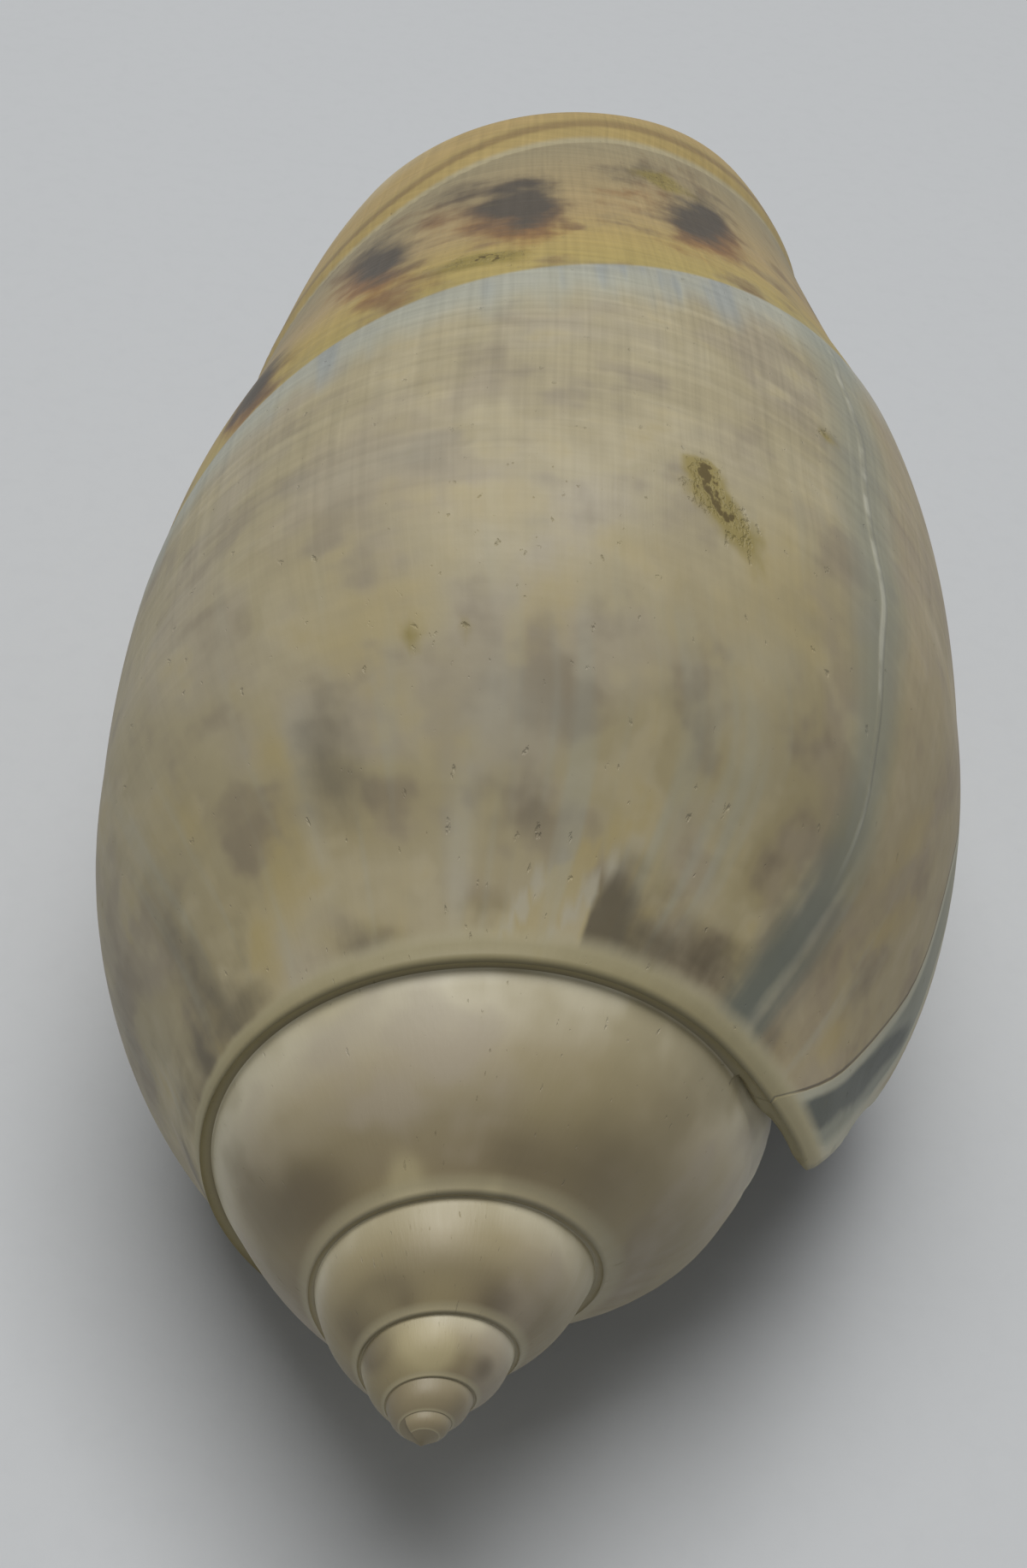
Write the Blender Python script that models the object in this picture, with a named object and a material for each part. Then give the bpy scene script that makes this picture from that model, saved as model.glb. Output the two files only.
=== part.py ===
"""Olive shell, whole and empty, lying on its mouth. Units are metres, +Z is up.

The spire points to -Y, the siphonal notch to +Y and the outer lip to +X. The shell grows as a
logarithmic spiral: a turn is an angle in degrees that counts from the outer side (0), over the
back (90) to the left side (180) and on, whorl after whorl, back to the apex. Every length below
LENGTH is a share of it, measured on the last whorl, and shrinks by GROWTH with each earlier turn.
"""

import math

import bpy
import numpy as np
from mathutils import Matrix

# Driving dimensions
LENGTH = 0.060
GROWTH = 1.87
FIRST_TURN = -40.0
MOUTH_TURN = FIRST_TURN + 360.0
STEP = 6.0
LAST_TURN = 1400.0

# Half outline of the last whorl, from the suture to the columella: height along the axis, radius
BODY_OUTLINE = (
    (0.18, 0.145),
    (0.24, 0.193),
    (0.30, 0.246),
    (0.36, 0.280),
    (0.42, 0.290),
    (0.60, 0.292),
    (0.72, 0.272),
    (0.84, 0.255),
    (1.00, 0.234),
    (1.12, 0.206),
    (1.30, 0.150),
    (1.50, 0.105),
    (1.70, 0.080),
)

# Cross-section of a whorl: how far it departs from a circle
SIDE_SHIFT = 0.026
BACK_SHIFT = 0.061
TALLNESS = 0.099
TWIST = 0.020

# Suture, where a whorl joins the one before it: radius and height, with their decay per radian
LAST_SUTURE = (0.146, 0.0976, 0.182, 0.0829)
SPIRE_SUTURE = (0.133, 0.187)
SPIRE_BLEND = (290.0, 400.0)
TIP = 0.004
RIM_HEIGHT = 0.0055
RIM_FALL = 0.003
RIM_FADE = (0.6, 1000.0)
SHOULDER = 0.10
SPIRE_BULGE = 0.009

# Callus pad on the spire beside the mouth, and the flare of the lip away from it
CALLUS = (0.015, -20.0, 35.0)
FLARE = (0.042, -25.0, 30.0)
FLARE_REACH = 0.35

# Fuller part of the belly, which the shell rests on: height, middle turn, width, then along the axis
BELLY = (0.026, 250.0, 28.0)
BELLY_MIDDLE = 0.64
BELLY_REACH = 0.14

# Wall inside the mouth: where the last whorl runs into it, and how it narrows further in
MERGE_TURN = 255.0
WALL_STRETCH = 0.35
WALL_SHRINK = 0.6
WALL_PAD = 0.15

# Front margin of the shell: turn, height along the axis. The notch is its low part.
FRONT_MARGIN = (
    (-40, 0.950),
    (-25, 0.990),
    (-5, 1.010),
    (20, 1.005),
    (50, 0.955),
    (80, 0.882),
    (110, 0.862),
    (135, 0.885),
    (165, 0.940),
    (195, 0.970),
    (230, 0.972),
    (270, 0.955),
    (320, 0.930),
)
FRONT_ROUNDING = 0.025
FRONT_CENTRE = 0.945

# Edge of the outer lip: height along the axis, turn
LIP_EDGE = ((0.16, -5), (0.20, -9), (0.26, -17), (0.32, -25), (0.42, -33), (0.55, -38), (1.20, -38))

# Hollow of the last whorl
WALL = 0.028
LIP_WALL = 0.013
SLIT_WALL = 0.006
THICKENING = (5.0, 50.0)
CLEAR = 0.0015
HOLLOW_START = -72.0
HOLLOW_END = 290.0
HOLLOW_TAPER = 90.0
HOLLOW_FLATTENING = 0.8
HOLLOW_MOUTH = 1.06
HOLLOW_FRONT = 0.76
HOLLOW_BACK = 0.035
EDGE_FADE = 60.0

# Slit at the back of the lip, and notch at the front: where they end and how gently
SLIT_DEPTH = 0.035
SLIT_REACH = 0.10
SLIT_END = 12.0
SLIT_CLOSING = 20.0
NOTCH_END = 108.0
NOTCH_CLOSING = 12.0

# How the hollow leaves the lip's edge and the inner wall, so that its surface never runs along theirs
PAST_LIP = (0.05, 3.0)
INNER_LIFT = (0.04, 30.0)
RIM_LIFT = (0.004, 0.02)
COLUMELLA_END = (0.8, 0.88, 0.96)

# Pose of the shell at rest on a table, in degrees
ROLL = -1.9
PITCH = -3.16

# Rows of the mesh: the first ones lie between two sutures, the others run on to the front
SPIRE_ROWS = (0.0, 0.0, 0.18, 0.40, 0.62, 0.82, 1.0)
BODY_ROWS = 15
HOLLOW_ROWS = 14
HOLLOW_CROWDING = 1.6


def smooth_curve(points, x):
    """Smooth interpolation through a few (x, value) points."""
    xs, ys = np.array(points, float).T
    slopes = np.gradient(ys, xs)
    x = np.clip(x, xs[0], xs[-1])
    i = np.clip(np.searchsorted(xs, x) - 1, 0, len(xs) - 2)
    width = xs[i + 1] - xs[i]
    t = (x - xs[i]) / width
    start = (2 * t**3 - 3 * t**2 + 1) * ys[i] + (t**3 - 2 * t**2 + t) * width * slopes[i]
    return start + (3 * t**2 - 2 * t**3) * ys[i + 1] + (t**3 - t**2) * width * slopes[i + 1]


def smooth_step(low, high, x):
    """0 below low, 1 above high, and an even rise between them."""
    t = np.clip((x - low) / (high - low), 0, 1)
    return t * t * (3 - 2 * t)


def rise(shape, x):
    """A rise from 0 at x = 0, from (height, reach)."""
    height, reach = shape
    return height * smooth_step(0, reach, x)


def bell(shape, turn):
    """A hump in the turn, from (height, middle, width in degrees)."""
    height, middle, width = shape
    return height * np.exp(-(((turn - middle) / width) ** 2))


def size_at(turn):
    """Size of the whorl at a turn, against its size at turn 0."""
    return GROWTH ** (-turn / 360)


def rim_size(turn):
    """Size of the rim along the suture, which is faint at the smooth tip of the spire."""
    loss, start = RIM_FADE
    return size_at(turn) * (1 - loss * smooth_step(start, LAST_TURN, turn))


def section(turn):
    """Radius of a whorl's cross-section against its mean."""
    angle = np.radians(turn)
    sideways = SIDE_SHIFT * np.cos(angle) + BACK_SHIFT * np.sin(angle)
    return 1 + sideways - TALLNESS * np.cos(2 * angle) + TWIST * np.sin(2 * angle)


def suture(turn):
    """(radius, height) of the suture at the back edge of a whorl."""
    radius, radius_decay, height, height_decay = LAST_SUTURE
    angle = np.radians(turn)
    older = smooth_step(*SPIRE_BLEND, turn)
    size = size_at(turn)
    r = (1 - older) * radius * np.exp(-radius_decay * angle) + older * SPIRE_SUTURE[0] * size
    y = (1 - older) * height * np.exp(-height_decay * angle) + older * SPIRE_SUTURE[1] * size
    return r, y


def flare(turn, y):
    """How far the lip stands out from the spiral near its back end."""
    back = smooth_step(0, FLARE_REACH, y / size_at(turn) - LAST_SUTURE[2])
    return bell(FLARE, turn) * (1 - back)


def front(turn):
    """Height of the front margin at a turn."""
    return smooth_curve(FRONT_MARGIN, turn)


def last_whorl(turn, y):
    """Radius of the last whorl at a turn and a height."""
    size = size_at(turn)
    edge_r, edge_y = suture(turn)

    def spiral(height):
        return smooth_curve(BODY_OUTLINE, height / size) * size * section(turn)

    shoulder = 1 - smooth_step(0, SHOULDER * size, y - edge_y)
    match = edge_r + RIM_HEIGHT * size - spiral(edge_y)
    belly = bell(BELLY, turn) * np.exp(-(((y - BELLY_MIDDLE) / BELLY_REACH) ** 2))
    return spiral(y) + match * shoulder + flare(turn, y) + belly


def inner_whorl(turn, y):
    """Radius of an earlier whorl: its bare part on the spire, then the wall inside the mouth."""
    low_r, low_y = suture(turn)
    high_r, high_y = suture(turn - 360)
    high_r = high_r + bell(CALLUS, turn - 360)
    share = np.clip((y - low_y) / (high_y - low_y), 0, 1)
    swell = SPIRE_BULGE * size_at(turn - 360) + bell(CALLUS, turn - 360)
    start = low_r + RIM_HEIGHT * rim_size(turn)
    spire = start + (high_r - start) * share + swell * 4 * share * (1 - share) ** 1.5
    ratio = size_at(np.maximum(turn - MOUTH_TURN, 0))
    stretch = ratio**-WALL_STRETCH
    wall_turn = np.minimum(turn, MOUTH_TURN)

    def wall(height):
        size = size_at(wall_turn)
        radius = smooth_curve(BODY_OUTLINE, height / size) * size * section(wall_turn)
        return radius * ratio**WALL_SHRINK

    pad = 1 - smooth_step(0, WALL_PAD, y - high_y)
    inside = wall(y * stretch) + (high_r - wall(high_y * stretch)) * pad
    return np.where(y < high_y, spire, inside)


def outer_radius(turn, y):
    """Radius of the last whorl, running into the wall beside the mouth at its end."""
    share = smooth_step(MERGE_TURN, MOUTH_TURN, turn)
    return (1 - share) * last_whorl(turn, y) + share * inner_whorl(turn, y)


def place(turn, r, y):
    """Point at a turn, a radius and a height, in shares of LENGTH."""
    angle = math.radians(turn)
    return (r * math.cos(angle), y, r * math.sin(angle))


def body_column(turn):
    """Points of the last whorl at one turn, from the suture to the front margin."""
    low_r, low_y = suture(turn)
    size = size_at(turn)
    _, joint_y = suture(FIRST_TURN)
    end_y = front(turn)
    split = low_y + (joint_y - suture(MOUTH_TURN)[1]) * size / size_at(MOUTH_TURN)
    points = [place(turn, low_r + bell(CALLUS, turn), low_y)]
    edge = outer_radius(turn, low_y + 1e-6)
    points.append(place(turn, edge, low_y - RIM_FALL * size))
    for share in SPIRE_ROWS[2:]:
        y = low_y + (split - low_y) * share
        points.append(place(turn, outer_radius(turn, y), y))
    for row in range(1, BODY_ROWS + 1):
        y = split + (end_y - FRONT_ROUNDING - split) * row / BODY_ROWS
        points.append(place(turn, outer_radius(turn, y), y))
    rim = outer_radius(turn, end_y)
    inner = rim - min(FRONT_ROUNDING, 0.5 * rim)
    for angle in (45, 90):
        r = inner + (rim - inner) * math.cos(math.radians(angle))
        y = end_y - FRONT_ROUNDING * (1 - math.sin(math.radians(angle)))
        points.append(place(turn, r, y))
    return points


def spire_column(turn):
    """Points of a whorl's bare part on the spire at one turn, without the end it shares."""
    low_r, low_y = suture(turn)
    _, high_y = suture(turn - 360)
    points = [place(turn, low_r, low_y)]
    size = rim_size(turn)
    points.append(place(turn, low_r + RIM_HEIGHT * size, low_y - RIM_FALL * size))
    for share in SPIRE_ROWS[2:-1]:
        y = low_y + (high_y - low_y) * share
        points.append(place(turn, inner_whorl(turn, y), y))
    return points


def outer_form():
    """Points and faces of the closed outer form, before it is hollowed."""
    columns = round((LAST_TURN - FIRST_TURN) / STEP)
    per_turn = round(360 / STEP)
    spire_last = len(SPIRE_ROWS) - 1
    points = []
    index = []
    for i in range(columns + 1):
        turn = FIRST_TURN + i * STEP
        column = body_column(turn) if i <= per_turn else spire_column(turn)
        index.append(list(range(len(points), len(points) + len(column))))
        points.extend(column)
    # The mouth end of the last whorl and the bare part of the whorl before it share one column.
    index[0][0] = index[per_turn][spire_last]
    for i in range(per_turn + 1, columns + 1):
        index[i].append(index[i - per_turn][0])
    faces = []
    for i in range(columns):
        here, there = index[i], index[i + 1]
        for row in range(min(len(here), len(there)) - 1):
            faces.append((here[row], here[row + 1], there[row + 1], there[row]))
    apex = len(points)
    points.append((0.0, TIP, 0.0))
    ring = [index[i][0] for i in range(columns - per_turn, columns + 1)]
    faces += [(a, b, apex) for a, b in zip(ring, ring[1:])]
    faces.append((*index[columns], apex))
    centre = len(points)
    points.append((0.0, FRONT_CENTRE, 0.0))
    margin = [index[i][-1] for i in range(per_turn + 1)]
    faces += [(b, a, centre) for a, b in zip(margin, margin[1:])]
    faces += mouth_faces(points, index[0][1:], index[per_turn][spire_last:])
    faces.append((index[0][-1], index[per_turn][-1], centre))
    return points, faces


def mouth_faces(points, lip, wall):
    """Flat triangles from the lip to the inner wall, which close the mouth until it is hollowed."""
    faces = []
    while len(lip) > 1 or len(wall) > 1:
        climb_lip = len(wall) == 1 or (len(lip) > 1 and points[lip[1]][1] < points[wall[1]][1])
        if climb_lip:
            faces.append((lip[1], lip[0], wall[0]))
            lip = lip[1:]
        else:
            faces.append((wall[0], wall[1], lip[0]))
            wall = wall[1:]
    return faces


def hollow_section(turn):
    """Closed loop of the hollow at one turn: along the outer wall, then back along the inner one."""
    _, edge_y = suture(turn)
    closed = smooth_step(SLIT_END - SLIT_CLOSING, SLIT_END + SLIT_CLOSING, turn)
    shut = smooth_step(NOTCH_END - NOTCH_CLOSING, NOTCH_END + NOTCH_CLOSING, turn)
    back_y = edge_y - SLIT_DEPTH + (SLIT_DEPTH + HOLLOW_BACK) * closed
    front_y = HOLLOW_MOUTH + (HOLLOW_FRONT - HOLLOW_MOUTH) * shut
    fade = 1 - smooth_step(0, EDGE_FADE, turn - FIRST_TURN)
    narrow = 1 - HOLLOW_FLATTENING * smooth_step(HOLLOW_END - HOLLOW_TAPER, HOLLOW_END, turn)
    middle_y = (back_y + front_y) / 2
    outer, inner = [], []
    for row in range(HOLLOW_ROWS + 1):
        y = middle_y + (front_y - back_y) * narrow * ((row / HOLLOW_ROWS) ** HOLLOW_CROWDING - 0.5)
        lip_turn = smooth_curve(LIP_EDGE, y)
        here = turn + (lip_turn - FIRST_TURN) * fade
        _, edge_here = suture(here)
        slit = 1 - smooth_step(0, SLIT_REACH, y - edge_here)
        edge = LIP_WALL + (SLIT_WALL - LIP_WALL) * slit
        thickness = edge + (WALL - edge) * smooth_step(*THICKENING, here - lip_turn)
        past_lip = rise(PAST_LIP, lip_turn - here)
        r_outer = outer_radius(here, max(y, edge_here)) - thickness + past_lip
        behind = here + 360
        r_inner = inner_whorl(behind, y) if behind > MOUTH_TURN else outer_radius(behind, y)
        bare = y < edge_here or here < FIRST_TURN - 1
        r_inner += 2 * CLEAR if bare else -CLEAR
        r_inner += rise(INNER_LIFT, FIRST_TURN - 1 - here) + rise(RIM_LIFT, edge_here - y)
        loss, start, end = COLUMELLA_END
        r_inner *= 1 - loss * smooth_step(start, end, y)
        r_outer = max(r_outer, r_inner + 2 * CLEAR)
        inset = (1 - narrow) * (r_outer - r_inner) / 2
        outer.append(place(here, r_outer - inset, y))
        inner.append(place(here, r_inner + inset, y))
    return outer + inner[::-1]


def hollow_form():
    """Points and faces of the hollow: a loft through its sections, from the mouth inwards."""
    count = round((HOLLOW_END - HOLLOW_START) / STEP)
    turns = [HOLLOW_START + (HOLLOW_END - HOLLOW_START) * i / count for i in range(count + 1)]
    sections = [hollow_section(turn) for turn in turns]
    size = len(sections[0])
    points = [point for loop in sections for point in loop]
    faces = []
    for i in range(count):
        for k in range(size):
            a, b = i * size + k, i * size + (k + 1) % size
            faces.append((a, b, b + size, a + size))
    last = count * size
    for k in range(HOLLOW_ROWS):
        across = (k, k + 1, size - 2 - k, size - 1 - k)
        faces.append(across[::-1])
        faces.append(tuple(last + i for i in across))
    return points, faces


def clear_scene():
    for thing in list(bpy.data.objects):
        bpy.data.objects.remove(thing, do_unlink=True)


def collection(name):
    made = bpy.data.collections.new(name)
    bpy.context.scene.collection.children.link(made)
    return made


def mesh_object(name, form, home):
    """A closed mesh object from points in shares of LENGTH, with its faces pointing out."""
    points, faces = form
    mesh = bpy.data.meshes.new(name)
    mesh.from_pydata([[LENGTH * value for value in point] for point in points], [], faces)
    mesh.validate()
    mesh.shade_smooth()
    made = bpy.data.objects.new(name, mesh)
    home.objects.link(made)
    bpy.context.view_layer.objects.active = made
    made.select_set(True)
    bpy.ops.object.mode_set(mode="EDIT")
    bpy.ops.mesh.select_all(action="SELECT")
    bpy.ops.mesh.delete_loose()
    bpy.ops.mesh.normals_make_consistent(inside=False)
    bpy.ops.object.mode_set(mode="OBJECT")
    made.select_set(False)
    return made


def shell_material():
    material = bpy.data.materials.new("glossy shell")
    material.use_nodes = True
    surface = material.node_tree.nodes["Principled BSDF"]
    surface.inputs["Base Color"].default_value = (0.48, 0.42, 0.31, 1.0)
    surface.inputs["Roughness"].default_value = 0.32
    surface.inputs["Metallic"].default_value = 0.0
    return material


def rest_on_table(*things):
    """Turns the shell to its resting pose, its lowest point at height 0 below the box's middle."""
    turned = Matrix.Rotation(math.radians(ROLL), 4, "Y") @ Matrix.Rotation(math.radians(PITCH), 4, "X")
    for thing in things:
        thing.data.transform(turned)
    bpy.context.view_layer.update()
    shell = things[0].evaluated_get(bpy.context.evaluated_depsgraph_get())
    corners = np.array([vertex.co for vertex in shell.data.vertices])
    low, high = corners.min(axis=0), corners.max(axis=0)
    shift = ((low[0] + high[0]) / -2, (low[1] + high[1]) / -2, -low[2])
    for thing in things:
        thing.data.transform(Matrix.Translation(shift))


def main():
    clear_scene()
    parts = collection("olive shell")
    cutters = collection("cutters")
    shell = mesh_object("olive_shell", outer_form(), parts)
    hollow = mesh_object("hollow_cutter", hollow_form(), cutters)
    hollow.hide_render = True
    hollow.display_type = "WIRE"
    cut = shell.modifiers.new("hollow", "BOOLEAN")
    cut.operation = "DIFFERENCE"
    cut.solver = "EXACT"
    cut.object = hollow
    shell.modifiers.new("flat triangles", "TRIANGULATE")
    shell.data.materials.append(shell_material())
    rest_on_table(shell, hollow)


main()
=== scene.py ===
"""A gibbous olive shell, whole, empty and a little worn, lying on its mouth on pale paper.

The shell grows along a spiral. A turn is an angle in degrees that counts from the outer side (0),
over the back (90) to the left side (180) and on, whorl after whorl, to the apex. A height runs
along the axis from the apex (0) to the front end (1). Lengths are shares of the shell's length
unless their name ends in _mm.
"""

import logging
import math
from dataclasses import dataclass, field
from enum import Enum
from functools import partial, reduce
from typing import Any, ClassVar, Iterable, Sequence

import bpy
import numpy as np
from mathutils import Matrix, Vector


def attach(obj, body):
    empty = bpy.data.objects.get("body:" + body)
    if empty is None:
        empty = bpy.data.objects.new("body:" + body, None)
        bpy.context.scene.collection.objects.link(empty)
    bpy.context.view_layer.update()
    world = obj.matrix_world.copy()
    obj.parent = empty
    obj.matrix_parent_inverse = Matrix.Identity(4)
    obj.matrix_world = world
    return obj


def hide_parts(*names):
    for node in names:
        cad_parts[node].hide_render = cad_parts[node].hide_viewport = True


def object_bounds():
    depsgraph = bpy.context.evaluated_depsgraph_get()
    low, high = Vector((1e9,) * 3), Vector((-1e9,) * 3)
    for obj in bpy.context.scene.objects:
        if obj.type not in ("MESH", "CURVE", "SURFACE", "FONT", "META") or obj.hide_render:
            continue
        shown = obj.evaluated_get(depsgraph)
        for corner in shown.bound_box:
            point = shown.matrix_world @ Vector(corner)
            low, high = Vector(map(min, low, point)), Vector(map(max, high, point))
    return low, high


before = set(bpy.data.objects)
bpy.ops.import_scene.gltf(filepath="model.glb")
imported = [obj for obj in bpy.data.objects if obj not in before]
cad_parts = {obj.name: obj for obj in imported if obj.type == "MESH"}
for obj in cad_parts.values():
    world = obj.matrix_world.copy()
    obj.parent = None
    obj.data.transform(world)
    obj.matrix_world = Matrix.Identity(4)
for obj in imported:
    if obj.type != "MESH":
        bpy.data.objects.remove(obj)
CAD_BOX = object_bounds()
NODE = "olive_shell"
BODY = "root"

log = logging.getLogger("olive")
Array = np.ndarray
Face = tuple[int, ...]
Point = tuple[float, float, float]
# A turn and a height, a radius and a height, or an x and a value
Place = tuple[float, float]
# Where something starts and where it ends
Span = tuple[float, float]
# A map's name, the value at which a zone starts, and the value at which it is full
Band = tuple[str, float, float]
# A value of a map, and the colour there
Stop = tuple[float, str]

LENGTH_MM = 60.0
# Way around the shell at its widest
AROUND_MM = 102.0
# How much larger each whorl is than the one before
GROWTH = 1.87
# Refractive index of aragonite
SHELL_IOR = 1.53


class Side(Enum):
    """Which side of the wall a face is on; its value is the material slot."""

    OUTSIDE = 0
    INSIDE = 1


# ---------------------------------------------------------------- small helpers


def smooth_curve(points: Sequence[Place], x: Any) -> Any:
    """Interpolates smoothly through a few points.

    Args:
        points: (x, value) pairs in rising x.
        x: Where to read the curve, one number or many.

    Returns:
        The curve's value at x, held level past both ends.
    """
    xs, ys = np.array(points, float).T
    slopes = np.gradient(ys, xs)
    x = np.clip(x, xs[0], xs[-1])
    i = np.clip(np.searchsorted(xs, x) - 1, 0, len(xs) - 2)
    width = xs[i + 1] - xs[i]
    t = (x - xs[i]) / width
    start = (2 * t**3 - 3 * t**2 + 1) * ys[i] + (t**3 - 2 * t**2 + t) * width * slopes[i]
    return start + (3 * t**2 - 2 * t**3) * ys[i + 1] + (t**3 - t**2) * width * slopes[i + 1]


def smooth_step(low: float, high: float, x: Any) -> Any:
    """0 at low, 1 at high, and an even rise or fall between them."""
    t = np.clip((x - low) / (high - low), 0, 1)
    return t * t * (3 - 2 * t)


def plateau(rise: Span, fall: Span, x: Any) -> Any:
    """Rises from 0 to 1 over one span, and falls back to 0 over another."""
    return smooth_step(*rise, x) * (1 - smooth_step(*fall, x))


@dataclass(frozen=True)
class Hump:
    """A bell-shaped swelling: how high it is, where its middle is, and its half width."""

    height: float
    middle: float
    width: float

    def at(self, x: Any) -> Any:
        """Height of the hump at x."""
        return self.height * np.exp(-(((x - self.middle) / self.width) ** 2))


def read(items: Any, name: str, width: int = 1, kind: type = int) -> Array:
    """Reads one attribute of all items of a mesh, as rows where it has several numbers.

    Args:
        items: The points, edges, faces or corners.
        name: The attribute.
        width: How many numbers it has on each item.
        kind: The numbers' type.

    Returns:
        One number for each item, or one row for each.
    """
    values = np.empty(len(items) * width, kind)
    items.foreach_get(name, values)
    return values.reshape(-1, width) if width > 1 else values


def linear(code: str) -> tuple[float, float, float, float]:
    """Turns an sRGB hex colour to linear.

    Args:
        code: Six hex digits after a hash.

    Returns:
        Red, green, blue and an alpha of 1.
    """
    parts = [int(code[i : i + 2], 16) / 255 for i in (1, 3, 5)]
    red, green, blue = (c / 12.92 if c <= 0.04045 else ((c + 0.055) / 1.055) ** 2.4 for c in parts)
    return red, green, blue, 1.0


# ---------------------------------------------------------------- the form


@dataclass(frozen=True)
class Spiral:
    """The law by which the shell grows, as radii at a turn and a height.

    The suture's radius and height are each a value at turn 0 and how fast it falls.
    """

    first_turn: float = -40.0
    last_turn: float = 1940.0
    rim_end: float = 1400.0
    outline: tuple[Place, ...] = (
        (0.18, 0.145), (0.24, 0.193), (0.30, 0.246), (0.36, 0.280), (0.42, 0.290), (0.60, 0.292),
        (0.72, 0.272), (0.84, 0.255), (1.00, 0.234), (1.12, 0.206), (1.30, 0.150), (1.50, 0.105),
        (1.70, 0.080),
    )
    side_shift: float = 0.026
    back_shift: float = 0.061
    tallness: float = 0.099
    twist: float = 0.020
    suture_radius: tuple[float, float] = (0.146, 0.0976)
    suture_height: tuple[float, float] = (0.182, 0.0829)
    spire_suture: Place = (0.133, 0.187)
    spire_turns: Span = (290.0, 400.0)
    rim_fade: float = 0.6
    rim_fade_start: float = 1000.0
    rim_height: float = 0.0050
    rim_fall: float = 0.003
    shoulder: float = 0.10
    callus_pad: Hump = Hump(0.010, -20.0, 35.0)
    flare: Hump = Hump(0.042, -25.0, 30.0)
    flare_fall: Span = (0.182, 0.532)
    belly: Hump = Hump(0.026, 250.0, 28.0)
    belly_along: Hump = Hump(1.0, 0.64, 0.14)
    spire_bulge: float = 0.009
    bulge_gain: float = 0.7
    bulge_turns: Span = (620.0, 760.0)
    bulge_power: float = 1.5
    wall_start: float = 255.0
    wall_power: float = 0.6
    wall_stretch: float = -0.35
    wall_pad: float = 0.15
    fold_height: float = 0.0035
    fold_pitch: float = 0.036
    fold_slant: float = 0.10
    fold_heights: tuple[Span, Span] = ((0.42, 0.58), (0.84, 0.90))
    fold_turns: tuple[Span, Span] = ((262.0, 290.0), (380.0, 440.0))
    groove_depth: float = 0.0017
    groove_width: float = 0.0038
    front_margin: tuple[Place, ...] = (
        (-40, 0.950), (-25, 0.990), (-5, 1.010), (20, 1.005), (50, 0.955), (80, 0.882),
        (110, 0.862), (135, 0.885), (165, 0.940), (195, 0.970), (230, 0.972), (270, 0.955),
        (320, 0.930),
    )
    band_back: tuple[Place, ...] = (
        (-60, 0.680), (0, 0.655), (51, 0.619), (69.5, 0.602), (82, 0.588), (101, 0.570),
        (126, 0.549), (160, 0.530), (340, 0.459),
    )
    band_front: tuple[Place, ...] = (
        (-60, 0.950), (0, 0.940), (42, 0.925), (62, 0.920), (79.5, 0.914), (97, 0.888),
        (110, 0.856), (150, 0.815), (340, 0.639),
    )
    hidden_turns: Span = (150.0, 320.0)
    hidden_lift: Span = (0.10, 0.21)
    band_step: float = 0.0012
    band_rise: Span = (-0.05, 0.04)
    cord_height: float = 0.0030
    cord_rise: Span = (1.00, 1.08)
    cord_fall: Span = (150.0, 260.0)
    furrow: Hump = Hump(0.0015, 0.995, 0.02)
    growth_line: tuple[Place, ...] = (
        (0.190, 0.0), (0.240, 0.5), (0.270, 3.0), (0.312, 11.5), (0.344, 16.5), (0.388, 19.5),
        (0.527, 22.0), (0.600, 23.0),
    )
    lip_line: tuple[Place, ...] = (
        (0.170, 16.0), (0.180, 12.5), (0.208, 5.0), (0.240, 0.0), (0.268, -1.5), (0.312, 3.0),
        (0.336, 10.0), (0.400, 14.0), (0.600, 17.0), (1.000, 18.0),
    )
    lip_edge: tuple[Place, ...] = (
        (0.165, -4), (0.178, -5.5), (0.188, -8), (0.200, -9.5), (0.26, -17), (0.32, -25),
        (0.42, -32.3), (0.55, -36.7), (1.20, -36.7),
    )

    @property
    def mouth_turn(self) -> float:
        """Turn at which the last whorl passes under the lip."""
        return self.first_turn + 360.0

    def size(self, turn: Any) -> Any:
        """Size of the whorl at a turn, against its size at turn 0."""
        return GROWTH ** (-np.asarray(turn, float) / 360)

    def rim_size(self, turn: Any) -> Any:
        """Size of the rim along the suture, which is faint at the tip."""
        fade = self.rim_fade * smooth_step(self.rim_fade_start, self.rim_end, turn)
        return self.size(turn) * (1 - fade)

    def section(self, turn: Any) -> Any:
        """Radius of the cross-section against its mean.

        Args:
            turn: One turn or many.

        Returns:
            The share, which is 1 on average.
        """
        angle = np.radians(turn)
        sideways = self.side_shift * np.cos(angle) + self.back_shift * np.sin(angle)
        return 1 + sideways - self.tallness * np.cos(2 * angle) + self.twist * np.sin(2 * angle)

    def suture(self, turn: float) -> Place:
        """Radius and height of the suture at the back edge of a whorl.

        Args:
            turn: One turn.

        Returns:
            Its radius and its height.
        """
        angle = math.radians(turn)
        older = float(smooth_step(*self.spire_turns, turn))
        size = float(self.size(turn))
        near_r = self.suture_radius[0] * math.exp(-self.suture_radius[1] * angle)
        near_y = self.suture_height[0] * math.exp(-self.suture_height[1] * angle)
        radius = (1 - older) * near_r + older * self.spire_suture[0] * size
        return radius, (1 - older) * near_y + older * self.spire_suture[1] * size

    def callus(self, turn: float) -> float:
        """Thickness of the callus pad beside the mouth."""
        return float(self.callus_pad.at(turn))

    def groove_bottom(self, turn: float) -> Place:
        """Radius and height of the bottom of the channel along the suture."""
        radius, height = self.suture(turn)
        return radius + self.callus(turn) - self.groove_depth * float(self.rim_size(turn)), height

    def front(self, turn: float) -> float:
        """Height of the front margin at a turn."""
        return float(smooth_curve(self.front_margin, turn))

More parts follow.
